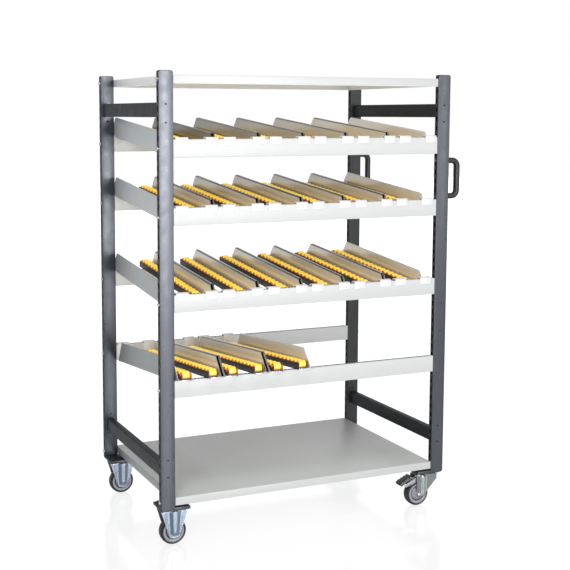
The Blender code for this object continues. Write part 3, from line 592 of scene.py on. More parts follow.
def domeHead(diameter, height, recess, recessDepth):
    # round flanged head with a hexagon recess, standing up along Z from nothing
    r = diameter / 2
    body = turnedMesh([(0, 0), (r, 0), (r, height * 0.22), (r * 0.80, height * 0.30),
                       (r * 0.72, height * 0.62), (r * 0.58, height * 0.88), (r * 0.42, height),
                       (0, height)], 20)
    low, high = height - recessDepth, height + 2
    return cut(body, turnedMesh([(0, low), (recess / 2, low), (recess / 2, high), (0, high)], 6))


# Uprights: rounded tube, slots in both narrow faces, welded foot plate

upright = {"width": 55.0, "depth": 22.0, "corner": 8.0, "edge": 1.6, "wall": 1.8,
           "slotHeight": 20.0, "slotWidth": 8.0, "topMargin": 30.0, "holeDiameter": 7.0,
           "holes": (126.0, 190.0, 1399.0, 1463.5), "overrun": 5.0, "plateLength": 114.0,
           "plateDepth": 96.0, "plateThickness": 10.0, "plateInset": 3.2, "plateSink": 0.5,
           "bolt": {"diameter": 15.0, "height": 5.4, "recess": 5.0, "recessDepth": 2.4}}
uprightLength = rack["firstSlot"] + (rack["slotCount"] - 1) * rack["slotPitch"] + upright["topMargin"]
uprightX = (rack["width"] - upright["width"]) / 2
uprightY = (rack["depth"] - upright["depth"]) / 2
plateFoot = rack["footHeight"] - upright["plateSink"]
plateTop = plateFoot + upright["plateThickness"]
boltedSlots = [0] + [level["slot"] for level in levels][::-1] + [rack["slotCount"] - 1]


def uprightMesh():
    half, deep, wall = upright["width"] / 2, upright["depth"] / 2, upright["wall"]
    shape = roundedPath([(-half, 0), (half, 0), (half, uprightLength), (-half, uprightLength)],
                        upright["corner"], 5)
    tube = plateMesh([shape], upright["depth"], "front", bevel=upright["edge"], bevelSteps=3)
    inside = boxMesh((-half + wall, -deep + wall, wall),
                     (half - wall, deep - wall, uprightLength - wall))
    w = upright["slotWidth"] / 2
    slot = plateMesh([roundedPath(rectangle(w, upright["slotHeight"] / 2), w * 0.98, 4)],
                     upright["width"] + 2 * upright["overrun"], "side")
    slots = rowOf(slot, rack["slotCount"], (0, 0, rack["firstSlot"]), (0, 0, rack["slotPitch"]),
                  finishes["frame"])
    through = deep + upright["overrun"]
    drill = turnedMesh(mirrored([(0, through), (upright["holeDiameter"] / 2, through)]), 16, "y")
    return cut(tube, inside, slots, *[shifted(drill, z=height) for height in upright["holes"]])


def uprightCoat(face):
    # the inside is painted near black as painted shade, the slotted narrow faces get a darker, duller
    # copy of the paint as painted shade, and the rear right upright a darker copy too
    centre = face.calc_center_median()
    across = abs(abs(centre.x) - uprightX)
    deep = abs(abs(centre.y) - uprightY)
    if across < upright["width"] / 2 - 0.4 and deep < upright["depth"] / 2 - 0.4:
        return finishes["shade"]
    if abs(face.normal.x) > 0.4:
        return finishes["frameShadedSide"]
    return finishes["frameShadedRear"] if centre.x > 0 and centre.y > 0 else finishes["frame"]


def plateCoat(face):
    # only the front and back edges of a foot plate take the wide faces' paint with its sheen; the other
    # faces get the darker, duller copy as painted shade
    return finishes["frame" if abs(face.normal.y) > 0.5 else "frameShadedSide"]


uprightMaster = uprightMesh()
boltMaster = domeHead(**upright["bolt"])
for end in (-1, 1):
    for side in (-1, 1):
        post = shifted(uprightMaster, side * uprightX, end * uprightY, rack["footHeight"])
        plate = boxMesh((side * (rack["width"] / 2 - upright["plateInset"]),
                         end * (rack["depth"] / 2 - rack["seat"]), plateFoot),
                        (side * (rack["width"] / 2 - upright["plateLength"]),
                         end * (rack["depth"] / 2 - upright["plateDepth"]), plateTop), 0.6)
        name = "_%s_%s" % (endNames[end], sideNames[side])
        finishPiece("slottedUpright" + name, [(post, uprightCoat), (plate, plateCoat)],
                    ["upright" + name])
        bolt = moved(boltMaster, turns["x" if side > 0 else "-x"])
        heads = [(shifted(bolt, side * rack["width"] / 2, end * uprightY, slotHeight(index)),
                  finishes["bolt"]) for index in boltedSlots]
        finishPiece("levelBolts" + name, heads)
print("uprights ready")


# Side rails with their end flanges

rail = {"width": 29.0, "height": 52.0, "corner": 4.0, "inset": 10.0, "low": 147.0,
        "highDrop": 137.0, "flange": 3.0, "flangeLip": 6.0, "flangeInset": 0.5}


def railParts(side):
    length = rack["depth"] - 2 * upright["depth"] - 2 * rack["seat"]
    w, h = rail["width"] / 2, rail["height"] / 2
    tube = plateMesh([roundedPath(rectangle(w, h), rail["corner"], 4)], length, "front")
    parts = [(tube, finishes["rail"])]
    for end in (-1, 1):
        y = end * (length - rail["flange"]) / 2
        x = side * rail["flangeLip"]
        parts.append((boxMesh((x - w, y - rail["flange"] / 2, -h + rail["flangeInset"]),
                              (x + w, y + rail["flange"] / 2, h - rail["flangeInset"]), 0.8),
                      finishes["frame"]))
    return parts


for side in (-1, 1):
    x = side * (rack["width"] / 2 - rail["inset"] - rail["width"] / 2)
    for label, height in (("low", rail["low"]), ("high", uprightLength - rail["highDrop"])):
        name = "_%s_%s" % (label, sideNames[side])
        at = Matrix.Translation((x, 0, rack["footHeight"] + height))
        finishPiece("sideTube" + name, placed(railParts(side), at), ["side_rail" + name])
print("side rails ready")


# Shelves: folded trays

shelf = {"lip": 30.0, "return": 12.0, "sheet": 1.5, "fold": 2.2, "inset": 1.0}


def shelfMesh():
    bm = bmesh.new()
    bmesh.ops.create_cube(bm, size=1.0)
    bmesh.ops.scale(bm, vec=(rack["clearWidth"], rack["depth"] - 2 * shelf["inset"], shelf["lip"]),
                    verts=bm.verts)
    under = min(bm.faces, key=lambda face: face.calc_center_median().z)
    bmesh.ops.inset_region(bm, faces=[under], thickness=shelf["return"])
    bmesh.ops.delete(bm, geom=[under], context="FACES_ONLY")
    folds = [edge for edge in bm.edges if len(edge.link_faces) == 2
             and edge.calc_face_angle(0) > 0.5]
    bmesh.ops.bevel(bm, geom=folds, offset=shelf["fold"], segments=3, profile=0.5, affect="EDGES")
    return walled(bm, shelf["sheet"], -1.0)


def topCoat(face):
    # the top tray's underside is a little lighter than its other faces and glows: painted light standing
    # in for light from below
    return finishes["trayUnderGlow"] if face.normal.z < -0.6 else finishes["white"]


def bottomCoat(face):
    # the end lips of the bottom tray get a darker grey: painted shade of the uprights
    return finishes["greyShadedSide"] if abs(face.normal.x) > 0.6 else finishes["grey"]


shelfMaster = shelfMesh()
for label, slot, coat in (("bottom", 0, bottomCoat), ("top", rack["slotCount"] - 1, topCoat)):
    finishPiece("foldedTray_" + label, [(shifted(shelfMaster, z=slotHeight(slot)), coat)],
                ["shelf_" + label])
print("shelves ready")


# Cross beams: folded profile with a row of small slots along its top

beam = {"height": 64.0, "depth": 20.0, "sheet": 2.0, "return": 5.0, "inset": 1.0,
        "slotPitch": 12.5, "slotLength": 8.0, "slotWidth": 13.0, "slotFromFace": 10.5,
        "endMargin": 14.0, "endPlate": 3.0, "endInset": 0.2, "shadeInset": 1.2, "slotReach": 7.4,
        "slotDepth": 3.0}
beamY = rack["depth"] / 2 - beam["inset"] - beam["depth"] / 2


def beamMeshes():
    # drawn for the rear, the outer face towards +Y
    d, h, t = beam["depth"] / 2, beam["height"] / 2, beam["sheet"] / 2
    line = [(-d + t + beam["return"], -h + t), (-d + t, -h + t), (-d + t, h - t), (d - t, h - t),
            (d - t, -h + t), (d - t - beam["return"], -h + t)]
    section = thickened(roundedPath(line, [0, 1.6, 1.8, 1.8, 1.6, 0], 3, closed=False), beam["sheet"])
    profile = plateMesh([section], rack["clearWidth"], "side")
    count = int((rack["clearWidth"] - 2 * beam["endMargin"]) // beam["slotPitch"]) + 1
    first = -(count - 1) * beam["slotPitch"] / 2
    l, w = beam["slotLength"] / 2, beam["slotWidth"] / 2
    row = rowOf(boxMesh((-l, -w, -5), (l, w, 5)), count, (first, d - beam["slotFromFace"], h),
                (beam["slotPitch"], 0, 0), finishes["white"])
    made = [cut(profile, row)]
    e, i = beam["endPlate"] / 2, beam["endInset"]
    for side in (-1, 1):
        x = side * (rack["clearWidth"] / 2 - e)
        made.append(boxMesh((x - e, -d + i, -h + i), (x + e, d - i, h - i), 0.5))
    return made


def beamCoat(middle):
    # white outside; the hollow behind it and the walls of its top slots are painted near black as
    # painted shade
    def choose(face):
        centre = face.calc_center_median() - middle
        deep, high = abs(centre.y), beam["height"] / 2
        inside = (deep < beam["depth"] / 2 - beam["shadeInset"]
                  and abs(centre.z) < high - beam["shadeInset"])
        shadedSlotWall = (deep < beam["slotReach"] and centre.z > high - beam["slotDepth"]
                    and abs(face.normal.z) < 0.5)
        amid = abs(centre.x) < rack["clearWidth"] / 2 - beam["endPlate"] - 1
        return finishes["shade" if (inside or shadedSlotWall) and amid else "white"]
    return choose


beamMasters = beamMeshes()
for number, level in enumerate(levels, start=1):
    for end in (-1, 1):
        middle = Vector((0, end * beamY, slotHeight(level["slot"])))
        turn = Matrix.Translation(middle) @ Matrix.Rotation(math.pi if end < 0 else 0, 4, "Z")
        finishPiece("foldedBeam_%d_%s" % (number, endNames[end]),
                    placed([(mesh, beamCoat(middle)) for mesh in beamMasters], turn),
                    ["level_%d_beam_%s" % (number, endNames[end])])
print("beams ready")


# Lane guides and roller tracks, drawn level with the low end at -Y

track = {"guideHeight": 80.0, "sheet": 1.6, "hoodWidth": 16.0, "shadeFillerSetback": 12.0,
         "shadeFillerFoot": 6.0, "shadeFillerGap": 0.6, "drop": 5.0, "corner": 15.0, "slant": 35.0,
         "lowSetback": 14.0, "overhang": 30.0, "width": 50.0, "floor": 1.5, "wall": 2.0,
         "wallSheet": 1.8, "wallHeight": 24.0, "rollerCount": 21, "pitch": 33.3,
         "rollerDiameter": 31.0, "rollerWidth": 32.0, "rollerChamfer": 4.6,
         "toothRise": (10.5, 13.5, 4.0), "toothHalf": 2.6, "seatHalf": 8.0, "lift": 1.0,
         "endMargin": 18.0, "endGap": 0.5, "cradleGap": 1.2, "cradleWall": 1.6, "sideGap": 4.5}
clip = {"width": 48.0, "sheet": 2.6, "archRise": 4.2, "drop": 20.0, "tail": 12.0, "lift": 0.4}
seat = rack["seat"]
sinFall, cosFall = math.sin(fall), math.cos(fall)
slant = math.tan(math.radians(track["slant"]))
beamInner = beamY - beam["depth"] / 2
beamOuter = beamY + beam["depth"] / 2
restY = (beamInner + track["drop"] * sinFall) / cosFall
trackRise = beam["height"] / 2 + seat - restY * sinFall - track["drop"] * cosFall
wallTop = track["drop"] + track["wallHeight"]
lowEnd = -(beamInner - seat - wallTop * sinFall) / cosFall
guideLowEnd = -(beamInner - track["lowSetback"]) / cosFall
highEnd = (beamOuter + track["overhang"]) / cosFall
notchY = (beamInner - 0.8) / cosFall
floorTop = track["drop"] + track["floor"]
rollerCentre = floorTop + track["lift"] + track["rollerDiameter"] / 2
firstRoller = highEnd - track["endMargin"]
lastRoller = firstRoller - (track["rollerCount"] - 1) * track["pitch"]


def inTrack(y, z):
    # a point of the rack, seen from the sloping track
    return (y * cosFall + (z - trackRise) * sinFall, -y * sinFall + (z - trackRise) * cosFall)


def guideOutline():
    height = track["guideHeight"]
    points = [(guideLowEnd, 0), (notchY, 0), (notchY, track["drop"]), (highEnd, track["drop"]),
              (highEnd - (height - track["drop"]) * slant, height),
              (guideLowEnd + height * slant, height)]
    return roundedPath(points, [0, 0, 0, 0, track["corner"], track["corner"]], 6)


def hoodMesh():
    # one sheet folded over in a round bend, cut to the guide's outline
    half, t = track["hoodWidth"] / 2, track["sheet"]
    x, top = half - t / 2, track["guideHeight"] - t / 2
    line = roundedPath([(-x, -4), (-x, top), (x, top), (x, -4)], [0, half - t, half - t, 0], 6,
                       closed=False)
    sheet = plateMesh([thickened(line, t)], highEnd - guideLowEnd + 40, "front",
                      (0, (highEnd + guideLowEnd) / 2, 0))
    shape = plateMesh([guideOutline()], track["hoodWidth"] + 10, "side")
    return cut(sheet, shape, operation="INTERSECT")


def shadeFillerMesh():
    # a near-black block inside a hood, set back from its open ends: painted shade that stands where
    # there is only shade, not a part
    foot, height = track["shadeFillerFoot"], track["guideHeight"] - 3
    low, high = guideLowEnd + track["shadeFillerSetback"], highEnd - track["shadeFillerSetback"]
    shape = [(low, foot), (high, foot), (high - height * slant, height),
             (low + height * slant, height)]
    return plateMesh([shape], track["hoodWidth"] - 2 * track["sheet"] - track["shadeFillerGap"], "side")


def endGuideMesh(side):
    return plateMesh([guideOutline()], track["sheet"], "side", (-side * track["sheet"] / 2, 0, 0),
                     bevel=0.5)


def rollerMesh():
    r, w, c = track["rollerDiameter"] / 2, track["rollerWidth"] / 2, track["rollerChamfer"]
    return turnedMesh(mirrored([(2.4, w + 1.4), (2.4, w + 0.2), (r * 0.62, w + 0.2), (r - c, w),
                                (r - c * 0.3, w - c * 0.5), (r, w - c - 1.0)]), 18, "x")


def rollerCoat(face):
    # the running surface is yellow; the ends are orange, a painted shade of the yellow
    return finishes["rollerEndShade" if abs(face.normal.x) > 0.5 else "roller"]


def cradleMesh(x, rise):
    # comb of open seats that carries the roller pins, a tooth between each two rollers
    middle, top, wide = rollerCentre, rollerCentre + rise, track["seatHalf"]
    tooth, halfPitch = track["toothHalf"], track["pitch"] / 2
    start, stop = lastRoller - halfPitch, firstRoller + halfPitch
    points = [(start, floorTop), (stop, floorTop), (stop, top - 3)]
    for index in range(track["rollerCount"]):
        y = firstRoller - index * track["pitch"]
        points += [(y + halfPitch - tooth, top), (y + wide, middle + 3), (y + tooth, middle + 1),
                   (y + tooth, middle - tooth), (y - tooth, middle - tooth), (y - tooth, middle + 1)]
        if index < track["rollerCount"] - 1:
            points += [(y - wide, middle + 3), (y - halfPitch + tooth, top)]
    points += [(y - 7, middle + 1), (start + 4, middle - 5), (start, middle - 9)]
    return plateMesh([points], track["cradleWall"], "side", (x, 0, 0))


def trackParts(side, face, turned):
    # floor and black outer wall, then two combs and their rollers, beside a guide face;
    # levels that fall to the rear are seen mirrored
    outer, low, far = face + side * track["width"], track["drop"], highEnd - track["endGap"]
    floorEdge = outer - side * track["wall"]
    floor = boxMesh((face, lowEnd, low), (floorEdge, far, floorTop), 0.3)
    wallLine = roundedPath([(outer - side * 7, low - 0.1), (outer - side, low - 0.1),
                            (outer - side, wallTop), (outer - side * 3.2, wallTop)],
                           [0, 1.6, 1.2, 0], 3, closed=False)
    wall = plateMesh([thickened(wallLine, track["wallSheet"])], far - lowEnd, "front",
                     (0, (highEnd + lowEnd) / 2, 0))
    centre = face + side * (track["width"] - track["wall"] - 1.5 - track["rollerWidth"] / 2)
    reach = track["rollerWidth"] / 2 + track["cradleGap"]
    outerRise, highRise, lowRise = track["toothRise"]
    innerRise = highRise if side * turned < 0 else lowRise
    trough = boxMesh((centre - reach, lastRoller - track["pitch"] / 2, floorTop - 0.2),
                     (centre + reach, firstRoller + track["pitch"] / 2, rollerCentre - 9), 0.4)
    rollers = rowOf(rollerMesh(), track["rollerCount"], (centre, firstRoller, rollerCentre),
                    (0, -track["pitch"], 0), finishes["roller"])
    return ([(floor, finishes["guide"]), (wall, finishes["trackSide"])],
            # the outer comb takes the lit, glowing copy and the inner one the shaded copy, as painted
            # light and shade
            [(cradleMesh(centre + side * reach, outerRise), finishes["comb"]),
             (cradleMesh(centre - side * reach, innerRise), finishes["combShaded"]),
             (trough, finishes["cradle"]), (rollers, rollerCoat)])


def hookMesh(side, face):
    t, foot = clip["sheet"], floorTop + clip["lift"]
    near, far = -(beamInner - seat) + t / 2, -(beamOuter + seat) - t / 2
    top = beam["height"] / 2 + seat
    arch = top + clip["archRise"] + t / 2
    above = (near * cosFall + (foot + near * sinFall) / cosFall * sinFall, foot)
    line = [(lowEnd + clip["tail"], foot), above, inTrack(near, arch), inTrack(far, arch),
            inTrack(far, top - clip["drop"])]
    bent = roundedPath(line, [0, 2.0, 5.0, 3.6, 0], 4, closed=False)
    centre = face + side * (track["width"] - clip["width"] / 2)
    return plateMesh([thickened(bent, t)], clip["width"], "side", (centre, 0, 0), bevel=0.5,
                     bevelSteps=1)


def guideCoat(number, outward):
    # the level's own tone with painted shade and painted reflection, a flatter grey outside an end plate
    # that is darker on lower levels as painted shade, and bends on a hood painted darker as painted
    # shade
    def choose(face):
        if outward and face.normal.x * outward > 0.5:
            return finishes["plate_%d" % number]
        if outward == 0 and 0.15 < face.normal.z < 0.93:
            return finishes["guideBendShade"]
        return finishes["guide_%d" % number]
    return choose


half = track["hoodWidth"] / 2
masters = {}
for turned in (1, -1):
    pair = ([(hoodMesh(), finishes["guide"]), (shadeFillerMesh(), finishes["shade"])], [], [])
    for side in (1, -1):
        steel, rolling = trackParts(side, side * half, turned)
        for have, more in zip(pair, (steel, rolling, [(hookMesh(side, side * half), finishes["clip"])])):
            have += more
        steel, rolling = trackParts(side, 0.0, turned)
        masters[turned, side] = ([(endGuideMesh(side), finishes["guide"])] + steel, rolling,
                                 [(hookMesh(side, 0.0), finishes["clip"])])
    masters[turned, 0] = pair


def setTrack(node, label, master, x, number, outward=0):
    level = levels[number - 1]
    coat = guideCoat(number, outward)
    turn = Matrix.Translation((x, 0, slotHeight(level["slot"]) + trackRise))
    if level["back"]:
        turn = turn @ Matrix.Rotation(math.pi, 4, "Z")
    turn = turn @ Matrix.Rotation(fall, 4, "X")
    steel, rolling, hooks = [placed(parts, turn) for parts in master]
    steel = [(mesh, coat if finish is finishes["guide"] else finish) for mesh, finish in steel]
    finishPiece("laneGuide_" + label, steel, [node])
    finishPiece("laneRollers_" + label, rolling)
    finishPiece("laneHooks_" + label, hooks)


for number, level in enumerate(levels, start=1):
    turned = -1 if level["back"] else 1
    left, lanes, hood = -rack["clearWidth"] / 2 + track["sideGap"], level["lanes"], track["hoodWidth"]
    setTrack("level_%d_track_left_end" % number, "%d_leftEnd" % number, masters[turned, turned],
             left, number, -1)
    for index in range(1, lanes):
        setTrack("level_%d_track_pair_%d" % (number, index), "%d_pair%d" % (number, index),
                 masters[turned, 0], left + index * level["clear"] + (index - 0.5) * hood, number)
    setTrack("level_%d_track_right_end" % number, "%d_rightEnd" % number, masters[turned, -turned],
             left + lanes * level["clear"] + (lanes - 1) * hood, number, 1)
print("tracks ready")


# Bow handles

handle = {"width": 22.0, "depth": 22.0, "edge": 8.0, "centres": 139.0, "reach": 53.9, "bend": 23.0,
          "height": 1180.0,
          "screw": {"across": 9.0, "height": 2.6, "washer": 13.0, "washerHeight": 1.2}}


def handleMesh():
    # rounded section carried along the bow, drawn from the upright's face outwards
    w, d, c = handle["width"] / 2, handle["depth"] / 2, handle["centres"] / 2
    section = roundedPath(rectangle(w, d), handle["edge"], 5)
    reach = handle["reach"] - w
    path = roundedPath([(seat, -c), (reach, -c), (reach, c), (seat, c)],
                       [0, handle["bend"], handle["bend"], 0], 10, closed=False)
    bm = bmesh.new()
    rings = []
    for index, (x, z) in enumerate(path):
        before = Vector(path[max(index - 1, 0)])
        after = Vector(path[min(index + 1, len(path) - 1)])
        along = (after - before).normalized()
        rings.append([bm.verts.new((x + along.y * u, v, z - along.x * u)) for u, v in section])
    for low, high in zip(rings, rings[1:]):
        for a in range(len(section)):
            b = (a + 1) % len(section)
            bm.faces.new((low[a], low[b], high[b], high[a]))
    bm.faces.new(rings[0])
    bm.faces.new(rings[-1])
    bmesh.ops.recalc_face_normals(bm, faces=bm.faces)
    return toMesh("handleBow", bm)


handleMaster = handleMesh()
screw = moved(hexHead(**handle["screw"]), turns["-x"])
for end in (-1, 1):
    y, z = end * uprightY, rack["footHeight"] + handle["height"]
    at = Matrix.Translation((rack["width"] / 2, y, z))
    finishPiece("bowHandle_" + endNames[end], placed([(handleMaster, finishes["plastic"])], at),
                ["handle_" + endNames[end]])
    screws = [(shifted(screw, rack["width"] / 2 - upright["width"], y, z + way * handle["centres"] / 2),
               finishes["zinc"]) for way in (-1, 1)]
    finishPiece("handleScrews_" + endNames[end], screws)
print("handles ready")


# Casters

caster = {"height": 140.0, "gap": 0.8, "setback": 60.0, "plateLength": 105.0, "plateDepth": 85.0,
          "plateThickness": 3.0, "plateCorner": 4.0, "boltX": 43.0, "boltY": 33.0,
          "wheelRadius": 50.0, "wheelWidth": 33.0, "hubWidth": 44.0, "legSheet": 2.8, "bend": 3.6,
          "footRadius": 24.5, "topWidth": 104.5, "trail": 34.0, "boltClearance": 8.0,
          "nut": {"across": 12.6, "height": 5.0, "washer": 16.0, "washerHeight": 1.4},
          "head": {"across": 12.6, "height": 4.5, "washer": 16.0, "washerHeight": 1.4},
          "axleHead": {"across": 12.6, "height": 1.6, "washer": 13.0, "washerHeight": 1.1}}
casterX = rack["width"] / 2 - caster["setback"]
casterY = rack["depth"] / 2 - upright["plateDepth"] / 2
casterTop = caster["height"] - caster["gap"]
plateUnder = casterTop - caster["plateThickness"]
legInner = caster["hubWidth"] / 2 + caster["gap"]


def smoothStep(value, low, high):
    share = min(max((value - low) / (high - low), 0.0), 1.0)
    return share * share * (3 - 2 * share)


def between(pair, share):
    return pair[0] + (pair[1] - pair[0]) * share


def pressedLegs(spans, ribs, rows=26, columns=56):
    # one sheet over both legs and the crown between them: spans gives the left and right edge at a
    # height, and each rib its middle at the top and foot, its half widths there, its depth and its cap
    heights = sorted(spans, reverse=True)
    top, bottom, r = heights[0], heights[-1], caster["bend"]
    y = legInner + caster["legSheet"] / 2

    def edges(z):
        for high, low in zip(heights, heights[1:]):
            if low <= z <= high:
                share = (high - z) / (high - low)
                return [between(pair, share) for pair in zip(spans[high], spans[low])]
        return spans[bottom]

    def ribHeight(rib, x, z):
        share = min(max((top - z) / top, 0.0), 1.0)
        wide = between(rib["half"], share)
        side = 1 - smoothStep(abs(x - between(rib["middle"], share)), wide - rib["soft"],
                              wide + rib["soft"])
        return (rib["depth"] * side * smoothStep(top - r - z, rib["start"], rib["start"] + 5)
                * (1 - smoothStep(-z, 4, 12)))

    bends = [math.pi / 2 * step / 6 for step in range(1, 7)]
    path = [((y - r) * step / 4, top, False) for step in range(5)]
    path += [(y - r + r * math.sin(a), top - r + r * math.cos(a), False) for a in bends]
    path += [(y, between((top - r, bottom), step / rows), True) for step in range(1, rows + 1)]
    bm = bmesh.new()
    for way in (-1, 1):
        grid = []
        for across, z, onLeg in path:
            line = []
            for column in range(columns + 1):
                x = between(edges(z), column / columns)
                out = sum(ribHeight(rib, x, z) for rib in ribs) if onLeg else 0.0
                line.append(bm.verts.new((x, way * (across + out), z)))
            grid.append(line)
        for a, b in zip(grid, grid[1:]):
            for column in range(columns):
                bm.faces.new((a[column], a[column + 1], b[column + 1], b[column]))
    bmesh.ops.remove_doubles(bm, verts=bm.verts, dist=0.01)
    bmesh.ops.recalc_face_normals(bm, faces=bm.faces)
    return walled(bm, caster["legSheet"], 0.0, 0.005)


def footArc(reach, height, radius, steps=8):
    # from where a straight side runs tangent into a round foot about the axle, down to its lowest
    start = math.pi / 2 - (math.atan2(reach, height) + math.acos(radius / math.hypot(reach, height)))
    angles = [start - (start + math.pi / 2) * step / steps for step in range(steps + 1)]
    return [(radius * math.cos(a), radius * math.sin(a)) for a in angles]


def wheelParts():
    r, w = caster["wheelRadius"], caster["wheelWidth"] / 2
    rings = {"tyre": [(40.4, w - 0.8), (44.5, w), (47.3, w - 1.6), (49.0, w - 4.6), (49.7, w - 9.0),
                      (r, 3.0)],
             "hub": [(40.5, w - 1.4), (39.6, w - 0.2), (38.2, w), (32.2, w - 0.2), (30.7, w - 1.2),
                     (30.0, w - 5.0)],
             # the groove ring is painted dark as painted shade
             "hubGrooveShade": [(30.4, w - 6.6), (24.2, w - 6.6)],
             "hubDisc": [(24.9, w - 7.4), (24.7, w - 4.8), (23.5, w - 3.8), (17.8, w - 3.0),
                         (15.5, w + 0.6), (13.5, w + 4.4), (10.5, w + 5.4), (6.9, w + 5.4)]}
    return [(turnedMesh(mirrored(side), 72, "y", closed=True), finishes[finish])
            for finish, side in rings.items()]


def axleParts():
    face = legInner + caster["legSheet"]
    head = hexHead(**caster["axleHead"])
    ring = turnedMesh([(6.2, 0), (9.4, 0), (9.4, 0.7), (6.2, 0.7)], 28, closed=True)
    made = [(turnedMesh(mirrored([(0, face), (5.8, face)]), 20, "y"), finishes["steel"])]
    for axis, way in (("y", 1), ("-y", -1)):
        at = Matrix.Translation((0, way * face, 0)) @ turns[axis]
        made += placed([(head, finishes["nut"]), (ring, finishes["plateZinc"])], at)
    return made


def topPlateParts(x, y):
    shape = roundedPath(rectangle(caster["plateLength"] / 2, caster["plateDepth"] / 2),
                        caster["plateCorner"], 5)
    plate = plateMesh([shape], caster["plateThickness"], "flat",
                      (x, y, casterTop - caster["plateThickness"] / 2), bevel=0.6)
    made = [(plate, finishes["plateZinc"])]
    nut, head = moved(hexHead(**caster["nut"]), turns["-z"]), hexHead(**caster["head"])
    for sx in (-1, 1):
        for sy in (-1, 1):
            bx, by = x + sx * caster["boltX"], y + sy * caster["boltY"]
            made.append((shifted(nut, bx, by, plateUnder), finishes["nut"]))
            # bolt heads on top of the foot plate take its darker copy of the paint, as painted shade
            # a bolt that would stand inside the upright has no head of its own
            room = caster["boltClearance"]
            if (abs(bx) <= rack["width"] / 2 - upright["width"] - room
                    or abs(by) <= rack["depth"] / 2 - upright["depth"] - room):
                made.append((shifted(head, bx, by, plateTop), finishes["frameShadedSide"]))
    return made


wheelMaster = wheelParts()
axleMaster = axleParts()
legTop = casterTop - caster["wheelRadius"] - caster["plateThickness"] - caster["legSheet"] / 2
legHalf = caster["topWidth"] / 2
fixedSpans = {legTop: (-legHalf, legHalf),
              **{z: (-max(x, 0.3), max(x, 0.3))
                 for x, z in footArc(legHalf, legTop, caster["footRadius"])}}
fixedRibs = [{"middle": (2, 1), "half": (15, 12), "soft": 9.0, "depth": 4.2, "start": -6},
             {"middle": (-52, -32), "half": (14, 9), "soft": 9.0, "depth": 1.3, "start": -6},
             {"middle": (52, 32), "half": (14, 9), "soft": 9.0, "depth": 1.3, "start": -6}]
fixedMaster = [(pressedLegs(fixedSpans, fixedRibs), finishes["zinc"])] + axleMaster
for end in (-1, 1):
    name, y = endNames[end], end * casterY
    at = Matrix.Translation((-casterX, y, caster["wheelRadius"]))
    finishPiece("fixedCasterFork_" + name, placed(fixedMaster, at) + topPlateParts(-casterX, y),
                ["fixed_fork_" + name])
    finishPiece("fixedCasterWheel_" + name, placed(wheelMaster, at), ["fixed_wheel_" + name],
                body="fixed_wheel_" + name)
print("fixed casters ready")

swivel = {"raceRadius": 33.0, "raceHeight": 7.0, "footRadius": 16.0, "footShift": 5.0,
          "shoulder": 22.0, "crownLength": 93.0, "crownGap": 0.3, "pivotReach": 40.0,
          "pivotDrop": 30.0}
crownTop = plateUnder - caster["wheelRadius"] - swivel["raceHeight"] - swivel["crownGap"]


def swivelSpans():
    axle, r = swivel["footShift"] - caster["trail"], swivel["footRadius"]
    back = axle - r
    front, shoulder = back + swivel["crownLength"], crownTop - swivel["shoulder"]
    spans = {crownTop - caster["legSheet"] / 2: (back, front), shoulder: (back, front - 0.5)}
    for x, z in footArc(front - axle, shoulder, r):
        left = axle - (x if z < 0 else r)
        spans[z] = (min(left, axle - 0.3), max(axle + x, axle + 0.3))
    return spans


def headParts(x, y):
    r, low = swivel["raceRadius"], plateUnder
    base = low - swivel["raceHeight"]
    foot = base - 4.8
    race = turnedMesh([(0, low + 0.2), (r - 3, low + 0.2), (r, low - 2), (r, low - 4.4),
                       (r - 4, base), (0, base)], 48)
    pin = turnedMesh([(0, base + 0.5), (7.6, base + 0.5), (7.6, foot - 0.4), (12.4, foot - 0.6),
                      (12.4, foot - 2.6), (9, foot - 4.2), (0, foot - 4.2)], 32)
    return topPlateParts(x, y) + [(shifted(race, x, y), finishes["plateZinc"]),
                                  (shifted(pin, x, y), finishes["zincGrey"])]


pedal = {"length": 76.0, "brow": 25.0, "browRise": 15.0, "tipRise": -8.5, "width": 42.5,
         "thickness": 12.0, "ribs": 4, "ribHeight": 3.6, "ribWidth": 7.5, "ribPitch": 13.0,
         "boss": 14.0, "strip": 50.0, "stripDrop": 12.0, "stripThickness": 2.2, "armReach": 60.0,
         "armHeight": 10.0, "armDrop": 25.5, "armSheet": 2.0, "armSlant": 7.0}


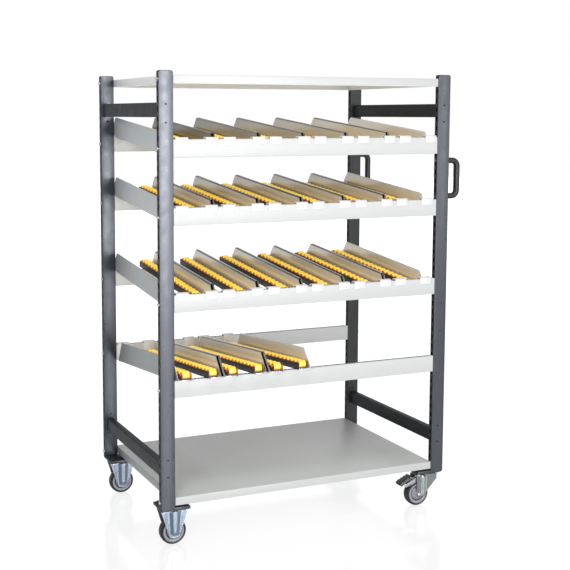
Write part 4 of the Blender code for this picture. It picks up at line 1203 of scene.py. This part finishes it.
def pedalParts():
    # black tread that falls away from the fork between two zinc arms, drawn about its pin
    boss, half, tall = pedal["boss"] / 2, pedal["width"] / 2, pedal["thickness"]
    slope = (pedal["browRise"] - pedal["tipRise"]) / (pedal["length"] - pedal["brow"])

    def tread(reach):
        return -reach, pedal["browRise"] - max(reach - pedal["brow"], 0) * slope

    top = [(3.0, boss - 1.0), (-8.0, 10.0), (-18.0, 13.2), tread(pedal["brow"] - 1)]
    for index in range(pedal["ribs"]):
        for step in range(7):
            x, z = tread(pedal["brow"] + index * pedal["ribPitch"] + pedal["ribWidth"] * step / 6)
            top.append((x, z + pedal["ribHeight"] * math.sin(math.pi * (step + 0.5) / 7)))
    tipX, tipZ = tread(pedal["length"])
    nose = [(tipX, tipZ - 2.5), (tipX, tipZ - tall + 4), (tipX + 4, tipZ - tall + 0.4)]
    under = [(-pedal["brow"], pedal["browRise"] - tall + 0.3), (3.0, boss - 1.0 - tall)]
    lever = plateMesh([top + [(tipX + 2.5, tipZ + 1.0)] + nose + under],
                      pedal["width"] - 2 * pedal["armSheet"] - 0.8, "front", bevel=1.6, bevelSteps=3)
    cap = plateMesh([[(tipX + 20, tipZ + 10.2), (tipX + 2.0, tipZ + 1.2)] + nose
                     + [(tipX + 20, tipZ - tall + 9)]], pedal["width"] - 1.0, "front", bevel=2.4,
                    bevelSteps=3)
    hub = turnedMesh(mirrored([(0, half - 2.4), (boss - 0.4, half - 2.4)]), 28, "y")
    line = [(2.0, -boss / 2 - 1.2), (-12, -boss / 2 - 2.0),
            (-pedal["strip"], -pedal["stripDrop"] - 1.2)]
    strip = plateMesh([thickened(line, pedal["stripThickness"])], pedal["width"] - 4.2, "front")
    reach, low = -pedal["armReach"], -pedal["armDrop"]
    high = low + pedal["armHeight"]
    arm = [(5.0, 4.0), (1.0, 9.4), (-5, 10.0), (reach, high), (reach - 1, high - 4),
           (reach + pedal["armSlant"], low - 1.0), (-7, -12.0), (-1, -10.4), (5.0, -4.0)]
    return [(lever, finishes["tread"]), (cap, finishes["tread"]), (hub, finishes["plastic"]),
            (strip, finishes["zincGrey"])] + [
        (plateMesh([arm], pedal["armSheet"] - 0.2, "front", (0, way * (half - 1.2), 0), bevel=0.5),
         finishes["armZinc"]) for way in (-1, 1)]


swivelRibs = [{"middle": (-10, -10), "half": (8, 8), "soft": 7.5, "depth": 4.2, "start": -4}]
swivelSheet = pressedLegs(swivelSpans(), swivelRibs)
pedalMaster = pedalParts()
pinMesh = turnedMesh(mirrored([(0, legInner + 4.2), (4.6, legInner + 4.2), (4.6, legInner + 2.9),
                               (3.4, legInner + 2.9)]), 16, "y")
for end in (-1, 1):
    name, y = endNames[end], end * casterY
    at = Matrix.Translation((casterX, y, caster["wheelRadius"]))
    axleAt = at @ Matrix.Translation((-caster["trail"], 0, 0))
    pinAt = Matrix.Translation((casterX - swivel["pivotReach"], y, casterTop - swivel["pivotDrop"]))
    finishPiece("swivelHeadPlate_" + name, headParts(casterX, y), ["swivel_head_" + name])
    parts = placed([(swivelSheet, finishes["zincGrey"])], at)
    parts += placed([(pinMesh, finishes["zincGrey"])], pinAt) + placed(axleMaster, axleAt)
    finishPiece("swivelCasterFork_" + name, parts, ["swivel_fork_" + name], body="swivel_" + name)
    finishPiece("swivelCasterWheel_" + name, placed(wheelMaster, axleAt), ["swivel_wheel_" + name],
                body="swivel_wheel_" + name)
    finishPiece("brakeTread_" + name, placed(pedalMaster, pinAt), ["brake_pedal_" + name],
                body="brake_pedal_" + name)
print("swivel casters ready")


# Floor, light and camera

# floor and room have two values each: for light that falls on things, and as they are seen
stage = {"floorSize": 40.0, "floorColour": (0.85, 0.22), "floorGlow": (0.36, 0.78),
         "floorRoughness": 0.14, "roomLight": (0.56, 1.0),
         "lamps": {"leftSoftbox": ((-3.35, -3.95, 2.3), (0.0, 0.0, 1.1), (1.6, 1.6), 57),
                   "keyLamp": ((-0.6, -2.2, 4.6), (0.0, 0.0, 0.9), (1.4, 1.4), 30)},
         "glossCards": {"glossCard": ((0.72, -4.65, 1.62), (0.15, 0.0, 1.62), (1.0, 2.9), 228),
                        "glossCardRight": ((3.45, -4.65, 1.6), (0.6, 0.0, 1.6), (0.9, 2.0), 46)},
         "lens": 71.21, "sensor": 36.0, "clip": (0.05, 100.0), "yaw": 23.562, "pitch": 6.334,
         "roll": 0.065, "cameraAt": (-1.93835, -4.0747, 1.5681), "shift": (0.08, -0.08)}


def asSeen(tree, values):
    # the second value where a camera, glossy or transmission ray arrives, else the first
    path = tree.nodes.new("ShaderNodeLightPath").outputs
    rays = maths(tree, "MAXIMUM", path["Is Camera Ray"], path["Is Glossy Ray"])
    rays = maths(tree, "MAXIMUM", rays, path["Is Transmission Ray"])
    return mixed(tree, rays, *values, kind="FLOAT")


def makeFloor():
    bm = bmesh.new()
    bmesh.ops.create_grid(bm, x_segments=2, y_segments=2, size=stage["floorSize"] / 2)
    floor = newObject("paleFloor", toMesh("paleFloor", bm))
    made = bpy.data.materials.new("paleFloor")
    made.use_nodes = True
    tree = made.node_tree
    feed(tree, tree.nodes["Principled BSDF"],
         {"Base Color": asSeen(tree, stage["floorColour"]), "Roughness": stage["floorRoughness"],
          "Emission Color": (1, 1, 1, 1), "Emission Strength": asSeen(tree, stage["floorGlow"])})
    floor.data.materials.append(made)


def addLamp(name, where, towards, size, power):
    lamp = bpy.data.lights.new(name, "AREA")
    lamp.shape = "RECTANGLE"
    lamp.size, lamp.size_y = size
    lamp.energy = power
    holder = newObject(name, lamp)
    holder.location = where
    holder.rotation_euler = (Vector(towards) - Vector(where)).to_track_quat("-Z", "Y").to_euler()
    return holder


makeFloor()
world = bpy.data.worlds.new("paleRoom")
bpy.context.scene.world = world
world.use_nodes = True
feed(world.node_tree, world.node_tree.nodes["Background"],
     {"Color": (1, 1, 1, 1), "Strength": asSeen(world.node_tree, stage["roomLight"])})
for name, lamp in stage["lamps"].items():
    addLamp(name, *lamp)
for name, lamp in stage["glossCards"].items():
    addLamp(name, *lamp).visible_diffuse = False

camera = newObject("photoCamera", bpy.data.cameras.new("photoCamera"))
camera.data.lens = stage["lens"]
camera.data.sensor_width = stage["sensor"]
camera.data.shift_x, camera.data.shift_y = stage["shift"]
camera.data.clip_start, camera.data.clip_end = stage["clip"]
turn = (Matrix.Rotation(math.radians(-stage["yaw"]), 4, "Z")
        @ Matrix.Rotation(math.radians(90 - stage["pitch"]), 4, "X")
        @ Matrix.Rotation(math.radians(stage["roll"]), 4, "Z"))
camera.matrix_world = Matrix.Translation(stage["cameraAt"]) @ turn
bpy.context.scene.camera = camera
bpy.context.scene.view_settings.view_transform = "Standard"

print("scene ready")
